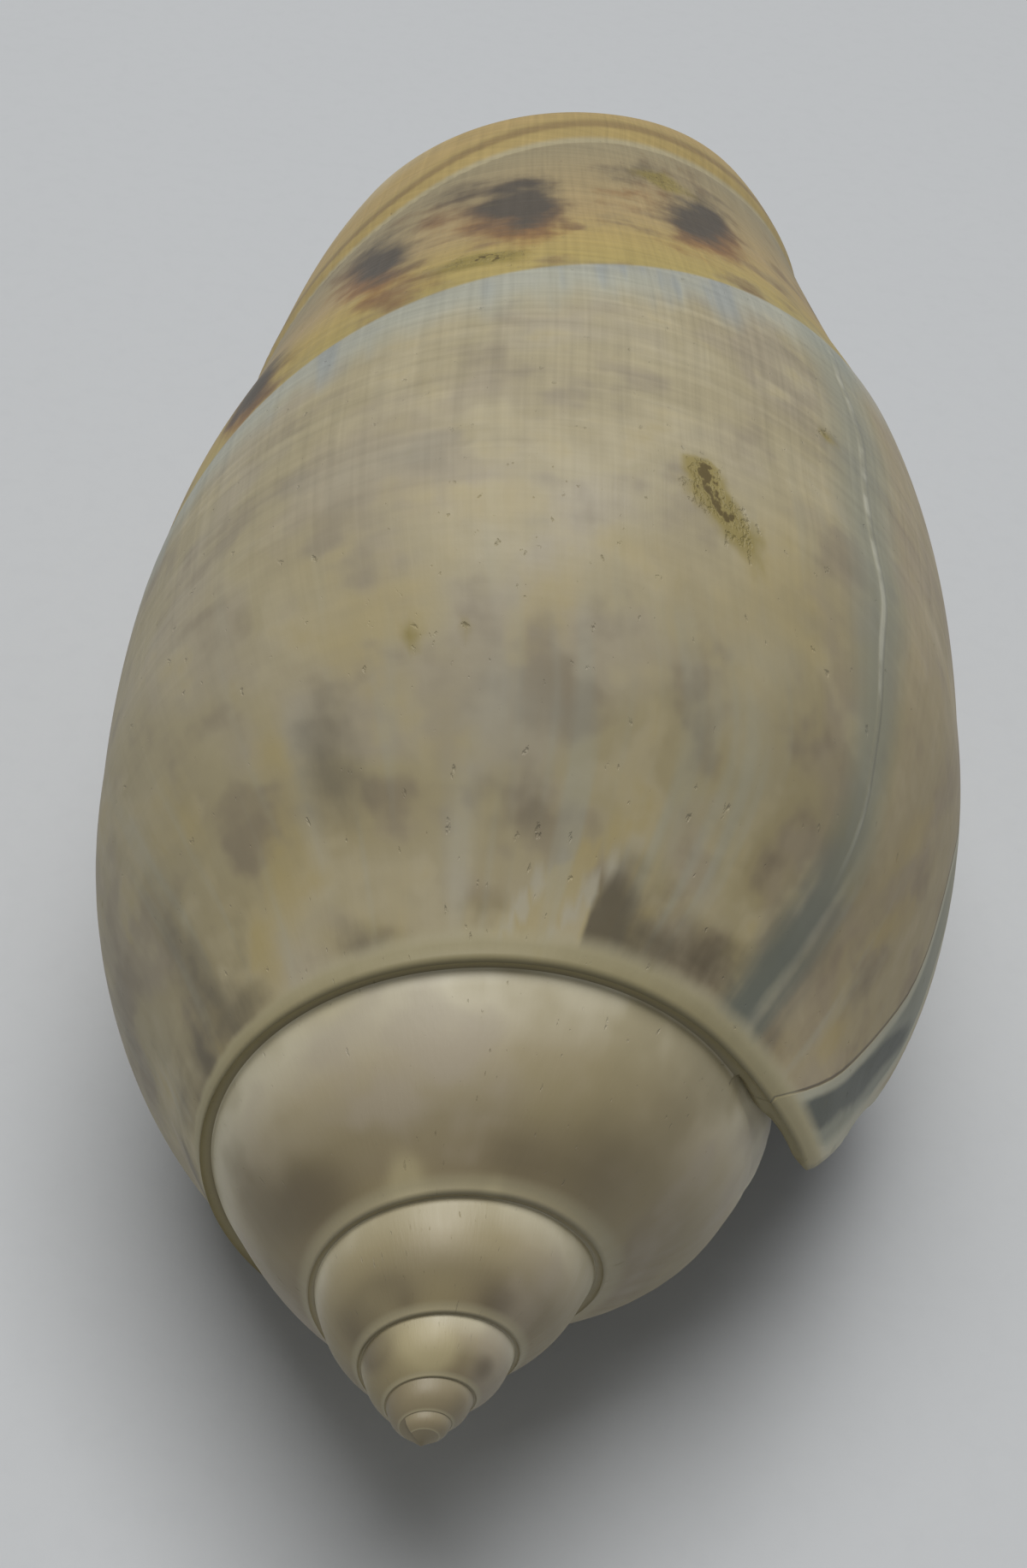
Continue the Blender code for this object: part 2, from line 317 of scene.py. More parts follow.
    def band_lines(self, turn: Any) -> tuple[Any, Any]:
        """Heights of the two lines that bound the fasciolar band, on the last whorl.

        Args:
            turn: One turn or many.

        Returns:
            Heights of the back line and of the front line.
        """
        back = smooth_curve(self.band_back, turn) * self.size(turn)
        front = smooth_curve(self.band_front, turn) * self.size(turn)
        hidden = smooth_step(*self.hidden_turns, turn)
        return back + self.hidden_lift[0] * hidden, front + self.hidden_lift[1] * hidden

    def cord(self, turn: float, height: Array) -> Array:
        """Relief of the front band: a low step at its back line and a cord past its front line.

        Args:
            turn: One turn.
            height: Heights to read it at.

        Returns:
            Relief at the heights, outwards.
        """
        back, front = self.band_lines(turn)
        fade = 1 - smooth_step(*self.cord_fall, turn)
        share = (height - back) / (front - back)
        step = self.band_step * smooth_step(*self.band_rise, share)
        ridge = self.cord_height * smooth_step(*self.cord_rise, share)
        return fade * (ridge - self.furrow.at(share) - step)

    def folds(self, turn: float, height: Array) -> Array:
        """Plaits on the columella and the front of the inner lip.

        Args:
            turn: One turn.
            height: Heights to read them at.

        Returns:
            Relief at the heights, outwards.
        """
        slanted = height + self.fold_slant * turn / 90
        wave = 0.5 + 0.5 * np.cos(2 * math.pi * slanted / self.fold_pitch)
        window = plateau(*self.fold_heights, height)
        around = plateau(*self.fold_turns, turn)
        return self.fold_height * wave * window * around

    def last_whorl(self, turn: float, height: Array) -> Array:
        """Radius of the last whorl.

        Args:
            turn: One turn.
            height: Heights to read it at.

        Returns:
            Radius at each height.
        """
        size = float(self.size(turn))
        edge_r, edge_y = self.suture(turn)

        def spiral(y: Any) -> Any:
            """Radius of the outline at a height."""
            return smooth_curve(self.outline, y / size) * size * self.section(turn)

        shoulder = 1 - smooth_step(0, self.shoulder * size, height - edge_y)
        match = edge_r + self.rim_height * size - spiral(edge_y)
        flare = self.flare.at(turn) * (1 - smooth_step(*self.flare_fall, height / size))
        belly = self.belly.at(turn) * self.belly_along.at(height)
        return spiral(height) + match * shoulder + flare + belly + self.cord(turn, height)

    def inner_whorl(self, turn: float, height: Array) -> Array:
        """Radius of an earlier whorl: its bare part on the spire, then the wall in the mouth.

        Args:
            turn: One turn, behind the whorl that covers it.
            height: Heights to read it at.

        Returns:
            Radius at each height.
        """
        low_r, low_y = self.suture(turn)
        high_r, high_y = self.suture(turn - 360)
        high_r += self.callus(turn - 360)
        size = float(self.size(turn - 360))
        share = np.clip((height - low_y) / (high_y - low_y), 0, 1)
        gain = self.bulge_gain * float(smooth_step(*self.bulge_turns, turn))
        bulge = self.spire_bulge * (1 + gain)
        swell = bulge * size + self.callus(turn - 360)
        start = low_r + self.rim_height * self.rim_size(turn)
        rounding = swell * 4 * share * (1 - share) ** self.bulge_power
        spire = start + (high_r - start) * share + rounding
        ratio = self.size(max(turn - self.mouth_turn, 0.0))
        stretch = ratio**self.wall_stretch
        wall_turn = min(turn, self.mouth_turn)
        wall_size = self.size(wall_turn)

        def wall(y: Any) -> Any:
            """Radius of the wall at a height, before its pads."""
            radius = smooth_curve(self.outline, y / wall_size) * wall_size
            return radius * self.section(wall_turn) * ratio**self.wall_power

        pad = 1 - smooth_step(0, self.wall_pad, height - high_y)
        inside = wall(height * stretch) + (high_r - wall(high_y * stretch)) * pad
        inside = inside + self.folds(turn, height)
        groove = Hump(self.groove_depth, high_y, self.groove_width * size)
        cut = groove.at(height) * self.rim_size(turn - 360)
        return np.where(height < high_y, spire, inside) - cut

    def outer_radius(self, turn: float, height: Array) -> Array:
        """Radius of the last whorl, running into the wall beside the mouth at its end.

        Args:
            turn: One turn of the last whorl.
            height: Heights to read it at.

        Returns:
            Radius at each height.
        """
        share = float(smooth_step(self.wall_start, self.mouth_turn, turn))
        if share <= 0:
            return self.last_whorl(turn, height)
        earlier = share * self.inner_whorl(turn, height)
        return (1 - share) * self.last_whorl(turn, height) + earlier


@dataclass
class Sheet:
    """A mesh in the making: its points, faces, and each face corner's turn and height."""

    points: list[Point] = field(default_factory=list)
    faces: list[Face] = field(default_factory=list)
    corners: list[tuple[Place, ...]] = field(default_factory=list)
    sides: list[Side] = field(default_factory=list)

    def add_column(self, turn: float, radii: Array, heights: Array) -> list[int]:
        """Adds a column of points at one turn and returns their numbers.

        Args:
            turn: Where the column is.
            radii: Radius of each point.
            heights: Height of each point.

        Returns:
            The points' numbers.
        """
        angle = math.radians(turn)
        start = len(self.points)
        across, up = math.cos(angle), math.sin(angle)
        self.points.extend((r * across, y, r * up) for r, y in zip(radii, heights))
        return list(range(start, len(self.points)))

    def add_face(self, corners: Iterable[tuple[int, Place]], side: Side = Side.OUTSIDE) -> None:
        """Adds a face from (point, (turn, height)) corners.

        Args:
            corners: Each corner's point and its place, a turn and a height.
            side: Which side of the wall the face is on.
        """
        numbers, places = zip(*corners)
        self.faces.append(tuple(numbers))
        self.corners.append(tuple(places))
        self.sides.append(side)

    def add_flat(self, numbers: Iterable[int], place: Place) -> None:
        """Adds an outside face whose corners all have the same place."""
        self.add_face([(number, place) for number in numbers])


@dataclass
class OuterForm:
    """The closed outer form of the whole shell, before it is hollowed."""

    spiral: Spiral
    step: float
    body_rows: int
    spire_shares: tuple[float, ...] = (
        0.015, 0.04, 0.08, 0.13, 0.19, 0.26, 0.33, 0.41, 0.49, 0.57, 0.65, 0.72, 0.79, 0.85, 0.90,
        0.94, 0.97, 0.985,
    )
    rim_angles: tuple[float, ...] = (25.0, 50.0, 75.0, 90.0)
    front_angles: tuple[float, ...] = (15.0, 30.0, 45.0, 60.0, 75.0, 90.0)
    front_rounding: float = 0.025
    front_centre: float = 0.945
    tip: float = 0.004
    tip_swell: float = 0.3
    tip_reach: float = 0.013
    paint_rim: float = 0.005
    end_height: float = 0.95
    tip_place: float = 1.3
    past_suture: float = 1e-6

    def rim(self, turn: float, crest: float, size: float) -> tuple[Array, Array, Array]:
        """Shapes the rounded rim beside the suture.

        Args:
            turn: Where it is.
            crest: Radius of the rim's crest.
            size: Size of the rim.

        Returns:
            Radii, heights, and painted heights, from the bottom of the channel up.
        """
        low_r, low_y = self.spiral.groove_bottom(turn)
        angles = np.radians((0.0, *self.rim_angles))
        radii = low_r + (crest - low_r) * np.sin(angles)
        heights = low_y - self.spiral.rim_fall * size * (1 - np.cos(angles))
        return radii, heights, low_y - self.paint_rim * size * (1 - np.sin(angles))

    def body_column(self, turn: float) -> tuple[Array, Array, Array]:
        """Radii, heights and painted heights of the last whorl, from suture to front margin.

        Args:
            turn: Where the column is.

        Returns:
            Radii, heights and painted heights, from the channel to the front.
        """
        law = self.spiral
        _, low_y = law.suture(turn)
        size = float(law.size(turn))
        _, joint_y = law.suture(law.first_turn)
        reach = joint_y - law.suture(law.mouth_turn)[1]
        split = low_y + reach * size / float(law.size(law.mouth_turn))
        end_y = law.front(turn)
        crest = float(law.outer_radius(turn, np.array([low_y + self.past_suture]))[0])
        radii, heights, painted = self.rim(turn, crest, size)
        spire = low_y + (split - low_y) * np.array([*self.spire_shares, 1.0])
        rows = np.arange(1, self.body_rows + 1) / self.body_rows
        body = split + (end_y - self.front_rounding - split) * rows
        middle = np.concatenate([spire, body])
        rim = float(law.outer_radius(turn, np.array([end_y]))[0])
        inner = rim - min(self.front_rounding, 0.5 * rim)
        angles = np.radians(self.front_angles)
        front_r = inner + (rim - inner) * np.cos(angles)
        front_y = end_y - self.front_rounding * (1 - np.sin(angles))
        return (
            np.concatenate([radii, law.outer_radius(turn, middle), front_r]),
            np.concatenate([heights, middle, front_y]),
            np.concatenate([painted, middle, front_y]),
        )

    def spire_column(self, turn: float) -> tuple[Array, Array, Array]:
        """Radii, heights and painted heights of a bare whorl, without the end that it shares.

        Args:
            turn: Where the column is.

        Returns:
            Radii, heights and painted heights, from the channel up.
        """
        law = self.spiral
        low_r, low_y = law.suture(turn)
        _, high_y = law.suture(turn - 360)
        size = float(law.rim_size(turn))
        radii, heights, painted = self.rim(turn, low_r + law.rim_height * size, size)
        middle = low_y + (high_y - low_y) * np.array(self.spire_shares)
        return (
            np.concatenate([radii, law.inner_whorl(turn, middle)]),
            np.concatenate([heights, middle]),
            np.concatenate([painted, middle]),
        )

    def sheet(self) -> Sheet:
        """Builds the closed form.

        Returns:
            The form, its corners placed by turn and height for the finishes.
        """
        law, sheet = self.spiral, Sheet()
        count = round((law.last_turn - law.first_turn) / self.step)
        per_turn = round(360 / self.step)
        last = len(self.rim_angles) + len(self.spire_shares) + 1
        turns = [law.first_turn + i * self.step for i in range(count + 1)]
        index: list[list[int]] = []
        rows: list[list[float]] = []
        for i, turn in enumerate(turns):
            column = self.body_column(turn) if i <= per_turn else self.spire_column(turn)
            radii, heights, painted = column
            index.append(sheet.add_column(turn, *self.blunt(radii, heights)))
            rows.append(list(painted))
        index[0][0] = index[per_turn][last]
        for i in range(per_turn + 1, count + 1):
            index[i].append(index[i - per_turn][0])
            rows[i].append(law.suture(turns[i] - 360)[1])
        for i in range(count):
            for row in range(min(len(index[i]), len(index[i + 1])) - 1):
                sheet.add_face(
                    (index[k][n], (turns[k], rows[k][n]))
                    for k, n in ((i, row), (i, row + 1), (i + 1, row + 1), (i + 1, row))
                )
        self.close_apex(sheet, index, turns, per_turn)
        self.close_front(sheet, index, turns, per_turn)
        wall = index[per_turn][last:]
        self.close_mouth(sheet, index[0][1:], wall, turns[0])
        return sheet

    def blunt(self, radii: Array, heights: Array) -> tuple[Array, Array]:
        """Rounds the tip of the spire as wear does, and leaves the rest as it is.

        Args:
            radii: Radius of each point of a column.
            heights: Height of each point.

        Returns:
            Radii and heights, changed near the tip alone.
        """
        heights = np.hypot(heights, self.tip)
        swell = self.tip_swell * np.exp((self.tip - heights) / self.tip_reach)
        return radii * (1 + swell), heights

    def close_apex(
        self, sheet: Sheet, index: list[list[int]], turns: list[float], per_turn: int
    ) -> None:
        """Closes the tip of the spire with a small cone.

        Args:
            sheet: The form, which takes the faces.
            index: Numbers of the points, column by column.
            turns: Turn of each column.
            per_turn: Columns in a whole turn.
        """
        apex = len(sheet.points)
        sheet.points.append((0.0, self.tip, 0.0))
        ends = range(len(index) - 1 - per_turn, len(index))
        for i, k in zip(ends, list(ends)[1:]):
            place = (turns[i], self.spiral.suture(turns[i])[1] * self.tip_place)
            sheet.add_flat((index[i][0], index[k][0], apex), place)
        place = (turns[-1], self.spiral.suture(turns[-1])[1] * self.tip_place)
        sheet.add_flat((*index[-1], apex), place)

    def close_front(
        self, sheet: Sheet, index: list[list[int]], turns: list[float], per_turn: int
    ) -> None:
        """Closes the front end, most of which the hollow then opens.

        Args:
            sheet: The form, which takes the faces.
            index: Numbers of the points, column by column.
            turns: Turn of each column.
            per_turn: Columns in a whole turn.
        """
        centre = len(sheet.points)
        sheet.points.append((0.0, self.front_centre, 0.0))
        for i in range(per_turn):
            here, there = ((turn, self.end_height) for turn in turns[i : i + 2])
            sheet.add_face([(index[i + 1][-1], there), (index[i][-1], here), (centre, here)])
        ends = (index[0][-1], index[per_turn][-1], centre)
        sheet.add_flat(ends, (turns[0], self.end_height))

    def close_mouth(self, sheet: Sheet, lip: list[int], wall: list[int], turn: float) -> None:
        """Closes the mouth with flat triangles until it is hollowed.

        Args:
            sheet: The form, which takes the faces.
            lip: Numbers of the points down the lip.
            wall: Numbers of the points down the wall that it faces.
            turn: Turn of the lip.
        """
        points = sheet.points
        while len(lip) > 1 or len(wall) > 1:
            place = (turn, points[lip[0]][1])
            if len(wall) == 1 or (len(lip) > 1 and points[lip[1]][1] < points[wall[1]][1]):
                sheet.add_flat((lip[1], lip[0], wall[0]), place)
                lip = lip[1:]
            else:
                sheet.add_flat((wall[0], wall[1], lip[0]), place)
                wall = wall[1:]


@dataclass
class Hollow:
    """The hollow of the last whorl, open at the mouth, the slit and the front notch."""

    spiral: Spiral
    step: float
    rows: int
    start: float = -84.0
    end: float = 290.0
    wall: float = 0.028
    lip_wall: float = 0.013
    slit_wall: float = 0.006
    clear: float = 0.0015
    slit_end: float = 12.0
    slit_reach: float = 20.0
    notch_end: float = 108.0
    notch_reach: float = 12.0
    mouth_front: float = 1.06
    inner_front: float = 0.76
    back: float = 0.035
    lip_trim: float = 1.4
    lip_fade: float = 80.0
    narrowing: float = 0.8
    narrow_turns: float = 90.0
    row_power: float = 1.3
    slit_length: float = 0.10
    thickening: Span = (5.0, 50.0)
    past_lip: float = 0.05
    past_lip_turns: float = 3.0
    bare_heights: Span = (-0.004, -0.012)
    bare_turns: Span = (-1.0, -5.0)
    start_lift: float = 0.04
    start_turns: float = 30.0
    back_lift: float = 0.004
    back_reach: float = 0.02
    notch_heights: Span = (0.88, 0.96)

    def section(self, turn: float) -> tuple[list[Point], list[Place]]:
        """One closed loop of the hollow: along the outer wall, then back along the inner one.

        Args:
            turn: Where the loop is, before it follows the lip's slanting edge.

        Returns:
            The loop's points, and each one's turn and height.
        """
        law = self.spiral
        _, edge_y = law.suture(turn)
        slit, notch = self.slit_reach, self.notch_reach
        closed = float(smooth_step(self.slit_end - slit, self.slit_end + slit, turn))
        shut = float(smooth_step(self.notch_end - notch, self.notch_end + notch, turn))
        back_y = edge_y - self.back + 2 * self.back * closed
        front_y = self.mouth_front + (self.inner_front - self.mouth_front) * shut
        fade = 1 - float(smooth_step(0, self.lip_fade, turn - law.first_turn))
        deep = float(smooth_step(self.end - self.narrow_turns, self.end, turn))
        narrow = 1 - self.narrowing * deep
        outer, inner, outer_place, inner_place = [], [], [], []
        for row in range(self.rows + 1):
            share = (row / self.rows) ** self.row_power - 0.5
            y = (back_y + front_y) / 2 + (front_y - back_y) * narrow * share
            lip_turn = float(smooth_curve(law.lip_edge, y))
            here = turn + (lip_turn - law.first_turn) * fade
            r_outer, r_inner = self.radii(here, y, lip_turn)
            inset = (1 - narrow) * (r_outer - r_inner) / 2
            across, up = math.cos(math.radians(here)), math.sin(math.radians(here))
            for loop, radius in ((outer, r_outer - inset), (inner, r_inner + inset)):
                loop.append((radius * across, y, radius * up))
            outer_place.append((here, y))
            inner_place.append((here + 360, y))
        return outer + inner[::-1], outer_place + inner_place[::-1]

    def radii(self, here: float, y: float, lip_turn: float) -> tuple[float, float]:
        """Outer and inner radius of the hollow at a turn and a height.

        Args:
            here: Turn of the point.
            y: Its height.
            lip_turn: Turn of the lip's edge at that height.

        Returns:
            The outer radius, and the inner one.
        """
        law = self.spiral
        _, edge = law.suture(here)
        slit = 1 - float(smooth_step(0, self.slit_length, y - edge))
        at_lip = self.lip_wall + (self.slit_wall - self.lip_wall) * slit
        thick = float(smooth_step(*self.thickening, here - lip_turn))
        thickness = at_lip + (self.wall - at_lip) * thick
        beyond = (self.lip_trim + lip_turn - here) / self.past_lip_turns
        past_lip = self.past_lip * float(smooth_step(0, 1, beyond))
        height = np.array([max(y, edge)])
        cord = float(law.cord(here, height)[0])
        r_outer = float(law.outer_radius(here, height)[0]) - cord - thickness + past_lip
        behind, low = here + 360, np.array([y])
        if behind > law.mouth_turn:
            r_inner = float(law.inner_whorl(behind, low)[0])
        else:
            r_inner = float(law.outer_radius(behind, low)[0])
        bare = float(smooth_step(*self.bare_heights, y - edge))
        bare = max(bare, float(smooth_step(*self.bare_turns, here - law.first_turn)))
        r_inner += self.clear * (3 * bare - 1)
        before = law.first_turn - 1 - here
        r_inner += self.start_lift * float(smooth_step(0, self.start_turns, before))
        r_inner += self.back_lift * float(smooth_step(0, self.back_reach, edge - y))
        r_inner *= 1 - self.narrowing * float(smooth_step(*self.notch_heights, y))
        return max(r_outer, r_inner + 2 * self.clear), r_inner

    def sheet(self) -> Sheet:
        """Lofts the hollow through its sections, from the mouth inwards.

        Returns:
            The closed hollow, its corners placed by turn and height.
        """
        sheet = Sheet()
        count = round((self.end - self.start) / self.step)
        places: list[Place] = []
        for i in range(count + 1):
            points, where = self.section(self.start + (self.end - self.start) * i / count)
            sheet.points.extend(points)
            places.extend(where)
        size = 2 * (self.rows + 1)
        for i in range(count):
            for k in range(size):
                a, b = i * size + k, i * size + (k + 1) % size
                corners = ((n, places[n]) for n in (a, b, b + size, a + size))
                sheet.add_face(corners, Side.INSIDE)
        last = count * size
        for k in range(self.rows):
            across = (k, k + 1, size - 2 - k, size - 1 - k)
            sheet.add_face(((n, places[n]) for n in across[::-1]), Side.INSIDE)
            sheet.add_face(((last + n, places[last + n]) for n in across), Side.INSIDE)
        return sheet


# ---------------------------------------------------------------- marks on the shell


@dataclass(frozen=True)
class Mark:
    """One soft mark on the shell: where it is, and its half size in millimetres.

    One with a left_mm ends sharply on the side of the higher turns.
    """

    turn: float
    height: float
    around_mm: float
    along_mm: float
    strength: float = 1.0
    slant: float = 0.0
    left_mm: float = 0.0
    radius_mm: ClassVar[float] = 16.0

    def at(self, turn: Array, height: Array) -> Array:
        """Strength of the mark at turns and heights, from 0 to its own strength.

        Args:
            turn: Turn of each corner.
            height: Height of each corner.

        Returns:
            Strength at each corner.
        """
        radius_mm = self.radius_mm * GROWTH ** (-max(self.turn, 0.0) / 360)
        across = (turn - self.turn) * math.pi / 180 * radius_mm
        along = (height - self.height) * LENGTH_MM
        across = across - self.slant * along
        half = np.where(across > 0, self.left_mm or self.around_mm, self.around_mm)
        return self.strength * np.exp(-((across / half) ** 2) - (along / self.along_mm) ** 2)


def marks(*rows: tuple[float, ...]) -> tuple[Mark, ...]:
    """Makes marks from rows of a Mark's own values."""
    return tuple(Mark(*row) for row in rows)


# Dark flames that hang from the rim along the suture, grey-brown patches on the back, and the
# long dark patch on the margin of the lip
DARK_MARKS = marks(
    (68, 0.178, 3.8, 0.8, 1.35, -0.2, 0.22), (66.5, 0.192, 2.2, 0.7, 0.6, -0.2, 0.35),
    (48, 0.189, 2.2, 0.7, 0.45), (40, 0.195, 1.4, 0.8, 0.4), (86.5, 0.172, 1.3, 0.4, 0.55),
    (86, 0.181, 1.3, 0.8, 0.25), (105, 0.165, 1.4, 0.4, 0.6), (112, 0.17, 1.2, 0.7, 0.4),
    (139, 0.161, 1.5, 1, 0.8), (154, 0.153, 1.5, 1.2, 0.8), (145, 0.183, 1.3, 1.4, 0.5),
    (130, 0.176, 1.1, 1.6, 0.4), (148, 0.215, 1.5, 1.8, 0.4), (109, 0.21, 1.4, 1, 0.6),
    (109.5, 0.228, 1.1, 1, 0.4), (84, 0.208, 1.5, 0.6, 0.4), (78.5, 0.262, 1.6, 0.7, 0.25),
    (67, 0.244, 1.4, 0.8, 0.35), (52, 0.222, 2.2, 1, 0.35), (88.5, 0.294, 1.8, 0.5, 0.35),
    (79, 0.335, 1.8, 0.5, 0.35), (65, 0.43, 2.2, 0.7, 0.35), (11, 0.256, 0.9, 1.2, 0.75),
    (14.5, 0.215, 1, 0.8, 0.5), (21, 0.19, 1.2, 0.7, 0.5), (1, 0.199, 0.8, 0.8, 1.1, -0.9),
    (-3, 0.232, 1, 1.7, 1.3, -0.9), (-7.5, 0.28, 0.8, 1.6, 1, -0.3), (170, 0.165, 2, 1.4, 0.7),
    (192, 0.15, 2.2, 1.4, 0.7), (222, 0.145, 2, 1.5, 0.6), (180, 0.24, 2, 2.4, 0.4),
    (205, 0.3, 2, 2.4, 0.4),
)

# Smoky blotches in the front band
BLOTCHES = marks(
    (107.5, 0.602, 1.19, 4.2, 1.3, 0.24), (88.5, 0.636, 1.08, 3.9, 1.3),
    (95.5, 0.655, 1.2, 3.2, 0.6, 0.1), (100, 0.69, 0.9, 2, 0.35), (66, 0.68, 1.22, 4.1, 1.3, -0.25),
    (73, 0.735, 0.9, 2.6, 0.6, -0.2), (78, 0.708, 0.7, 1.6, 0.35), (122, 0.5, 1.1, 2.8, 1.1),
    (38, 0.72, 1.3, 3.2, 0.7), (150, 0.5, 1.5, 3, 0.9), (178, 0.54, 1.7, 2.8, 0.9),
    (205, 0.58, 1.6, 3, 0.9),
)

# Yellowish patches on the back, and the pale orange streak at the suture
WARM_MARKS = marks(
    (99.5, 0.266, 1.3, 0.9, 1), (103.5, 0.246, 1.1, 0.8, 0.9), (106, 0.29, 1.2, 0.9, 0.6),
    (89, 0.3, 1.3, 0.7, 0.9), (84, 0.26, 0.9, 0.9, 1), (86, 0.244, 0.7, 0.7, 0.8),
    (99, 0.312, 1.4, 0.9, 0.5), (77, 0.292, 1.2, 0.8, 0.5), (67, 0.262, 1.2, 0.8, 0.5),
    (93, 0.222, 0.8, 1.2, 0.4), (75.5, 0.183, 0.5, 1, 4, -1.1), (101, 0.172, 0.7, 0.7, 0.6),
    (120, 0.2, 0.9, 1.1, 0.9), (115.5, 0.22, 0.8, 1, 0.7), (126, 0.172, 1, 1, 0.6),
    (146, 0.165, 0.8, 1.4, 0.6), (134, 0.232, 1.2, 1.4, 0.5), (60, 0.3, 1.8, 2.4, 0.5),
    (16.5, 0.278, 0.9, 1.6, 1.3), (9, 0.225, 0.8, 0.9, 1.1), (25, 0.3, 0.8, 1.6, 0.8),
    (170, 0.3, 2.6, 3, 0.5), (215, 0.26, 2.6, 3, 0.5),
)

# Pale greyish patches on the back, and the pale gap low on the callus
PALE_MARKS = marks(
    (91, 0.178, 0.6, 1.2, 0.55), (92, 0.198, 0.7, 1.4, 0.5), (72, 0.182, 0.25, 0.9, 1.1, -1.1),
    (79.5, 0.18, 0.3, 0.9, 1, -1.1), (1168, 0.034, 0.9, 0.5, 1.3), (88.5, 0.232, 0.9, 1.2, 0.6),
    (82, 0.225, 1.2, 0.8, 0.4), (69.8, 0.186, 0.22, 0.8, 1, -0.9),
    (80.5, 0.178, 0.25, 0.7, 0.8, -1), (66, 0.203, 0.5, 1, 0.5), (113, 0.198, 0.6, 1.6, 0.6),
    (112, 0.232, 0.8, 1, 0.5), (60, 0.276, 1.3, 1, 0.5), (61.5, 0.25, 1.2, 1, 0.4),
    (53, 0.24, 1, 1.4, 0.4), (101, 0.335, 4, 1.6, 0.4), (463, 0.088, 0.9, 0.6, 1),
    (430, 0.086, 0.5, 0.4, 0.8), (478, 0.15, 1.8, 0.8, 0.7),
)

# Olive-brown stain with tiny pits, and two small dirty scratches by the front band
STAINS = marks(
    (71, 0.336, 0.45, 0.55, 1, 0.3), (69.5, 0.322, 0.7, 0.45, 1, 0.6),
    (66.5, 0.311, 0.55, 0.4, 0.6), (71.5, 0.339, 0.25, 0.3, 0.8), (64, 0.3, 0.2, 0.15, 0.8),
    (93.5, 0.523, 1.2, 0.75, 0.85), (70, 0.738, 0.9, 1.2, 0.85), (57, 0.424, 0.22, 0.3, 0.9),
    (97.5, 0.251, 0.2, 0.3, 0.7), (92, 0.25, 0.22, 0.25, 0.7),
)

# Brown clouds on the callused whorls
BROWN_MARKS = marks(
    (498, 0.091, 2.4, 0.7, 0.7), (428, 0.1, 2.4, 0.7, 0.6), (400, 0.11, 2.4, 1, 0.5),
    (520, 0.11, 3, 2, 0.5), (384, 0.14, 2.6, 2, 0.3), (838, 0.049, 1.1, 0.45, 0.9),
    (768, 0.053, 1.1, 0.45, 0.9), (800, 0.06, 3, 0.5, 0.3), (740, 0.062, 1.6, 0.8, 0.4),
    (1110, 0.034, 0.7, 0.4, 1.1), (1225, 0.036, 0.7, 0.4, 1.1), (1470, 0.02, 0.5, 0.3, 0.9),
    (1590, 0.02, 0.5, 0.3, 0.9), (870, 0.044, 1, 0.6, 0.6),
)


# ---------------------------------------------------------------- finishes


@dataclass(frozen=True)
class Coat:
    """A colour laid over what is below it, where all its bands are full.

    A band is the name of a map, the value at which it starts, and the value at which it is full.
    One with other zones is laid where the strongest of them is.
    """

    colour: str
    strength: float
    bands: tuple[Band, ...]
    others: tuple[tuple[Band, ...], ...] = ()


class Make(Enum):
    """A node to add: its type, the inputs that are filled in order, its output, its settings."""

    TIMES = "Math", (0, 1), 0, {"operation": "MULTIPLY"}
    TIMES_PLUS = "Math", (0, 1, 2), 0, {"operation": "MULTIPLY_ADD"}
    MINUS = "Math", (0, 1), 0, {"operation": "SUBTRACT"}
    OVER = "Math", (0, 1), 0, {"operation": "DIVIDE"}
    GREATER = "Math", (0, 1), 0, {"operation": "MAXIMUM"}
    STEP = "MapRange", (0, 1, 2), 0, {"interpolation_type": "SMOOTHSTEP"}
    RANGE = "MapRange", (0, 1, 2, 3, 4), 0, {}
    MIX = "Mix", (0, 6, 7), 2, {"data_type": "RGBA"}
    SHADE = "Mix", (0, 6, 7), 2, {"data_type": "RGBA", "blend_type": "MULTIPLY"}
    NOISE = "TexNoise", ("Vector", "Scale", "Detail", "Roughness"), 0, {}
    OBJECT = "TexCoord", (), "Object", {}
    UV = "UVMap", (), 0, {}
    PAINT = "Attribute", (), "Color", {}
    JOIN = "CombineXYZ", (0, 1), 0, {}
    GREY = "CombineColor", (0, 1, 2), 0, {}
    AXES = "SeparateXYZ", (0,), None, {}
    CHANNELS = "SeparateColor", (0,), None, {}
    BUMP = "Bump", ("Strength", "Distance", "Height"), 0, {}
    SURFACE = "BsdfPrincipled", ("Base Color", "Roughness", "Normal", "IOR"), 0, {}
    OUTPUT = "OutputMaterial", (0,), None, {}


